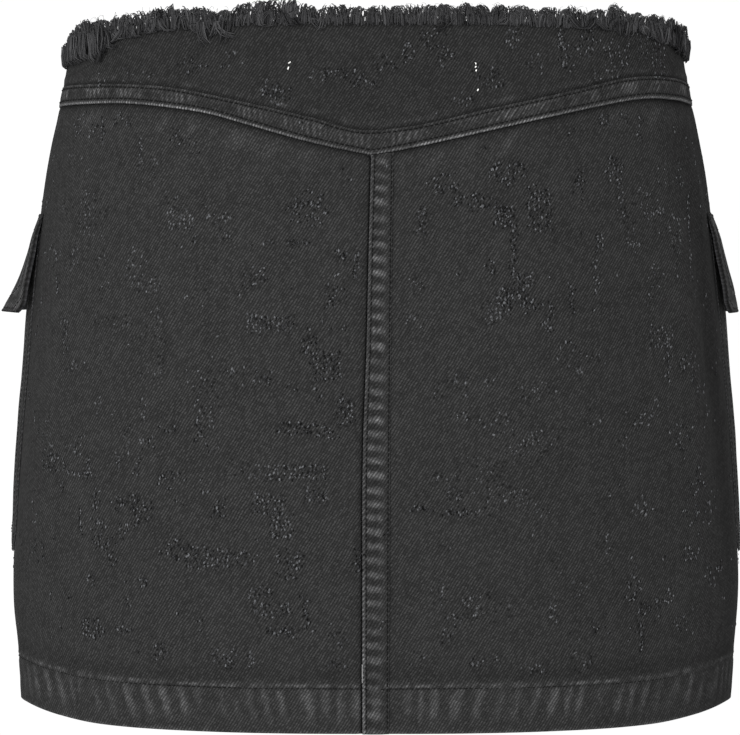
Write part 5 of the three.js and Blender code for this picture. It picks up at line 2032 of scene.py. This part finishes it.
@dataclass
class Skirt:
    """The whole skirt."""

    finishes: Finishes = field(default_factory=Finishes)
    growers: Growers = field(default_factory=Growers)
    form: WornForm = field(default_factory=WornForm)

    def __post_init__(self) -> None:
        """Cuts the pattern."""
        self.cut = Cut(self.form)
        self.pattern = Pattern(self.form, self.cut)
        self.yoke = self.pattern.yoke()
        self.yoke_fell = self.pattern.yoke_fell()
        self.back_fell = self.pattern.centre_back_fell()
        self.front_fell = self.pattern.centre_front_fell()
        self.panels = self.pattern.panels()

    def surface(self, angle: Array, height: Array) -> Array:
        """How far out the outermost cloth of the body lies, over its panels and felled bands."""
        out = np.zeros(np.shape(angle))
        seam = self.cut.yoke_seam(angle)
        behind = np.abs(angle) < SIDE_END
        band = behind & (height > seam) & (height < self.cut.upper_row(angle) + YOKE_ROW_INSET)
        centre = (angle > self.cut.centre_back(height)) & (angle < self.cut.centre_back_edge(height))
        centre = centre & behind & (height <= seam)
        return out + np.where(band | centre, SEAM_GAP + FELL_LAYERS, 0.0)

    def nicks(self) -> Nicks:
        """All the nicked threads."""
        nicks = Nicks(self.form, self.surface)
        nicks.add(LEFT_PATCHES + RIGHT_PATCHES + YOKE_PATCHES)
        nicks.add(far_patches(FRONT_PATCHES), front=True)
        nicks.add_strays(STRAYS)
        return nicks

    def seam_rows(self) -> dict[str, Object]:
        """The rows of stitches of the body, by the piece that they go with."""
        form, cut, thread = self.form, self.cut, self.finishes.thread
        yoke, back, front, hem, fly = Rows(), Rows(), Rows(), Rows(), Rows()
        round_back = np.linspace(-89.4, 89.4, 700)
        yoke.add(*self.yoke_fell.line_on(round_back, cut.yoke_seam(round_back) + 2.35))
        yoke.add(*self.yoke_fell.line_on(round_back, cut.upper_row(round_back)))
        up = np.linspace(2.5, 279.5, 420)
        inward = lambda line, step: line(up) + step / form.per_degree(line(up), up)
        back.add(*self.back_fell.line_on(inward(cut.centre_back, 1.8), up))
        back.add(*self.back_fell.line_on(inward(cut.centre_back_edge, -0.95), up))
        low = np.linspace(3, FLY_BOTTOM - 2, 300)
        for across in (-1.8, -FELL_WIDTH + 1.0):
            front.add(*self.front_fell.line_on(form.angle_across(across + 0 * low, low, True), low))
        around = np.linspace(-180, 179.5, 1400)
        height = cut.hem(around) + HEM_ROW
        out = self.surface(around, height) - 0.2
        hem.add(form.point(around, height, out), form.outward(around, height))
        for inset in (0.0, 6.4):
            fly.add(*self.fly_row(inset))
        body = (("yoke", yoke, 0.8), ("back", back, 0.65), ("front", front, 0.65), ("hem", hem, 0.5))
        return {
            name: rows.build(f"stitches_{name}", self.growers, thread, thick=thick)
            for name, rows, thick in (*body, ("fly", fly, 0.7))
        }

    def fly_row(self, inset: float) -> tuple[Array, Array]:
        """A J-shaped row of stitches beside the fly."""
        top = float(self.cut.raw_edge(np.array(180.0))) - 1.5
        straight = np.linspace(top, FLY_CURVE_TOP, 60)
        turn = np.linspace(0, math.pi / 2, 30)[1:]
        across = np.concatenate([-(FLY_WIDTH - inset) + 0 * straight, -(FLY_WIDTH - inset) * np.cos(turn)])
        curve = FLY_CURVE_TOP - (FLY_CURVE_DROP - inset * 0.5) * np.sin(turn)
        height = np.concatenate([straight, curve])
        across = np.minimum(across, -0.8)
        angle = wrapped(self.form.angle_across(across, height, True))
        return self.form.point(angle, height, 0.12 + 0 * angle), self.form.outward(angle, height)

    def side_rows(self, piece: SidePiece, name: str, closed: bool) -> Object:
        """The double rows of stitches along the edges of a pocket or a flap."""
        rows = Rows()
        level = np.array((float(piece.top(np.array(0.0))) + FLAP_BOTTOM) / 2)
        first, last = float(piece.left(level)), float(piece.right(level))
        top = float(piece.top(np.array(0.0)))
        per = float(self.form.per_degree(np.array((first + last) / 2), level))
        bottom = float(piece.bottom(np.array((first + last) / 2)))
        for inset in (piece.row_inset, piece.second_inset):
            a0 = first + inset / float(self.form.per_degree(np.array(first), level))
            a1 = last - inset / float(self.form.per_degree(np.array(last), level))
            cut = (FLAP_CORNER if closed else POCKET_CORNER) * 0.95
            corners = [
                (a0, top - inset),
                (a0, bottom + inset + cut),
                (a0 + cut / per, bottom + inset),
                (a1 - cut / per, bottom + inset),
                (a1, bottom + inset + cut),
                (a1, top - inset),
            ]
            if closed:
                corners.append(corners[0])
            share = np.linspace(0, len(corners) - 1, 60 * (len(corners) - 1) + 1)
            angle = np.interp(share, np.arange(len(corners)), [c[0] for c in corners])
            height = np.interp(share, np.arange(len(corners)), [c[1] for c in corners])
            rows.add(*piece.line_on(angle, height))
        return rows.build(name, self.growers, self.finishes.thread, 2.8, 0.45)

    def tacks(self) -> Object:
        """The few short white stitches beside the yoke's corners."""
        rows = Rows()
        for tack in TACKS:
            turn = math.radians(tack.turn)
            share = np.array([-0.5, 0.0, 0.5]) * tack.length
            across, height = tack.across + share * math.cos(turn), tack.height + share * math.sin(turn)
            angle = self.form.angle_across(across, height)
            out = self.surface(angle, height) + 0.35
            rows.add(self.form.point(angle, height, out), self.form.outward(angle, height))
        thick, tone = [np.full(3, 0.42 * MM)] * len(TACKS), [np.full(3, 0.8)] * len(TACKS)
        mesh = wire("white_tacks", rows.lines, thick=thick, tone=tone)
        return finished(grown("white_tacks", mesh, self.growers.yarns, self.finishes.tack), Slot.YARN)

    def show(self, piece: ClothPiece, slot: Slot = Slot.DENIM, nicks: Density | None = None) -> Object:
        """Makes a piece of cloth in the place of its solid."""
        return finished(piece.build(self.finishes, nicks), slot, piece.name)

    def build(self) -> None:
        """Makes every piece and says how the cloth was cut."""
        finishes, form, cut = self.finishes, self.form, self.cut
        nicks = self.nicks()
        rows = self.seam_rows()
        marks = nicks.build(self.growers, finishes)
        dense = nicks.density
        bodies = {key: self.show(panel, nicks=dense) for key, panel in self.panels.items()}
        yoke, band = self.show(self.yoke, nicks=dense), self.show(self.yoke_fell, nicks=dense)
        back_fell, front_fell = self.show(self.back_fell), self.show(self.front_fell)
        shield_piece = self.pattern.fly_shield()
        shield = self.show(shield_piece, Slot.INSIDE)
        folds = [
            self.show(self.pattern.hem_fold(name, middle - SIDE_END, middle + SIDE_END), Slot.INSIDE)
            for name, middle in (("hem_fold_back", 0), ("hem_fold_front", 180))
        ]
        button = waist_button(form, cut, finishes.metal)
        edges = (
            ("fray_back", -89.7, 89.7, 3.4, 24, 36),
            ("fray_front_right", 90.3, 179.7, 4.4, 19, 37, 2.2),
            ("fray_front_left", -179.7, -90.3, 4.4, 19, 38, 2.2),
        )
        frays = [FrayedEdge(form, cut, *edge).build(self.growers, finishes) for edge in edges]
        tacks = self.tacks()
        self.yoke.declare(yoke, "hung", [], [band, rows["yoke"], tacks, frays[0]])
        sewn_on = {
            "back_left": [folds[0], rows["hem"]],
            "back_right": [back_fell, rows["back"], *marks["back"]],
            "front_right": [front_fell, rows["front"], frays[1], *marks["front"]],
            "front_left": [folds[1], rows["fly"], button, frays[2]],
        }
        for key, extras in sewn_on.items():
            under = ["back_yoke"] if key.startswith("back") else []
            self.panels[key].declare(bodies[key], "hung", under, extras)
        shield_piece.declare(shield, "hung", ["front_panel_left"], [])
        sides = (
            ("left", -1, {"flare": 15.5, "rear_flare": 6.5, "curl": 2.9}),
            ("right", 1, {"flare": 9.2, "rear_flare": 6.2, "curl": 1.7}),
        )
        for side, sign, sizes in sides:
            pocket = self.pattern.pocket(f"pocket_{side}", sign)
            flap = self.pattern.flap(f"flap_{side}", sign, **sizes)
            for piece, closed, on in ((pocket, False, f"back_panel_{side}"), (flap, True, f"pocket_{side}")):
                shown = self.show(piece)
                sewn = self.side_rows(piece, f"stitches_{piece.name}", closed)
                piece.declare(shown, "laid", [on], [sewn])


@dataclass(frozen=True)
class Studio:
    """A white studio: a sky brightest behind the camera, a soft light from the upper left, a pale floor."""

    lens: float = 135.9
    place: tuple[float, float, float] = (-0.0031, -1.4622, -0.1028)
    tilt: float = 2.262
    sky: float = 1.03
    slant: float = 0.12
    front: float = 1.1
    key: float = 48.0
    floor: float = -1.0

    def light(self) -> None:
        """Makes the world and the lamp."""
        scene = bpy.context.scene
        scene.view_settings.view_transform = "Standard"
        world = bpy.data.worlds.new("white_studio")
        world.use_nodes = True
        scene.world = world
        g = Graph(world.node_tree)
        ground = world.node_tree.nodes["Background"]
        toward = g.add("ShaderNodeSeparateXYZ", {0: g.add("ShaderNodeTexCoord").outputs["Generated"]})
        slant = g.maths("MULTIPLY_ADD", toward.outputs[0], -self.slant, self.sky)
        ahead = g.maths("MAXIMUM", g.maths("MULTIPLY", toward.outputs[1], -1.0), 0.0)
        strength = g.maths("MULTIPLY_ADD", ahead, self.front, slant)
        g.tree.links.new(strength.outputs[0], ground.inputs["Strength"])
        ground.inputs["Color"].default_value = (1, 1, 1, 1)
        lamp = bpy.data.lights.new("key", "AREA")
        lamp.energy, lamp.size = self.key, 1.4
        key = bpy.data.objects.new("key", lamp)
        key.location = (-1.3, -2.4, 0.7)
        key.rotation_mode = "QUATERNION"
        key.rotation_quaternion = (-Vector(key.location) + Vector((0, 0, -0.1))).to_track_quat("-Z", "Y")
        scene.collection.objects.link(key)

    def ground(self) -> None:
        """Makes the floor."""
        turns = np.linspace(0, 2 * math.pi, 65)[:-1]
        mesh = bpy.data.meshes.new("floor")
        points = [(2.4 * math.cos(t), 2.4 * math.sin(t), self.floor) for t in turns]
        mesh.from_pydata(points, [], [list(range(len(points)))])
        material, _, shader = surface_of("pale_floor")
        set_sockets(shader, {"Base Color": linear("#e9e9e8"), "Roughness": 0.9})
        set_sockets(shader, {"Emission Color": (1, 1, 1, 1), "Emission Strength": 0.25})
        mesh.materials.append(material)
        new_object("floor", mesh)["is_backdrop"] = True

    def camera(self) -> None:
        """Sets the camera where the photo was taken from."""
        data = bpy.data.cameras.new("camera")
        data.sensor_width, data.lens = 36.0, self.lens
        data.clip_start, data.clip_end = 0.05, 60
        camera = bpy.data.objects.new("camera", data)
        camera.location = self.place
        camera.rotation_euler = (math.radians(90 - self.tilt), 0, 0)
        bpy.context.scene.collection.objects.link(camera)
        bpy.context.scene.camera = camera

    def build(self) -> None:
        """Makes the whole studio."""
        self.light()
        self.ground()
        self.camera()


def corners() -> list[list[float]]:
    """The object's lowest and highest corner, as plain numbers."""
    return [list(corner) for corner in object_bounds()]


def main() -> None:
    """Builds the skirt on its frame, and its studio."""
    logging.basicConfig(level=logging.INFO, format="%(name)s: %(message)s")
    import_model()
    Skirt().build()
    Studio().build()


if __name__ == "__main__":
    main()
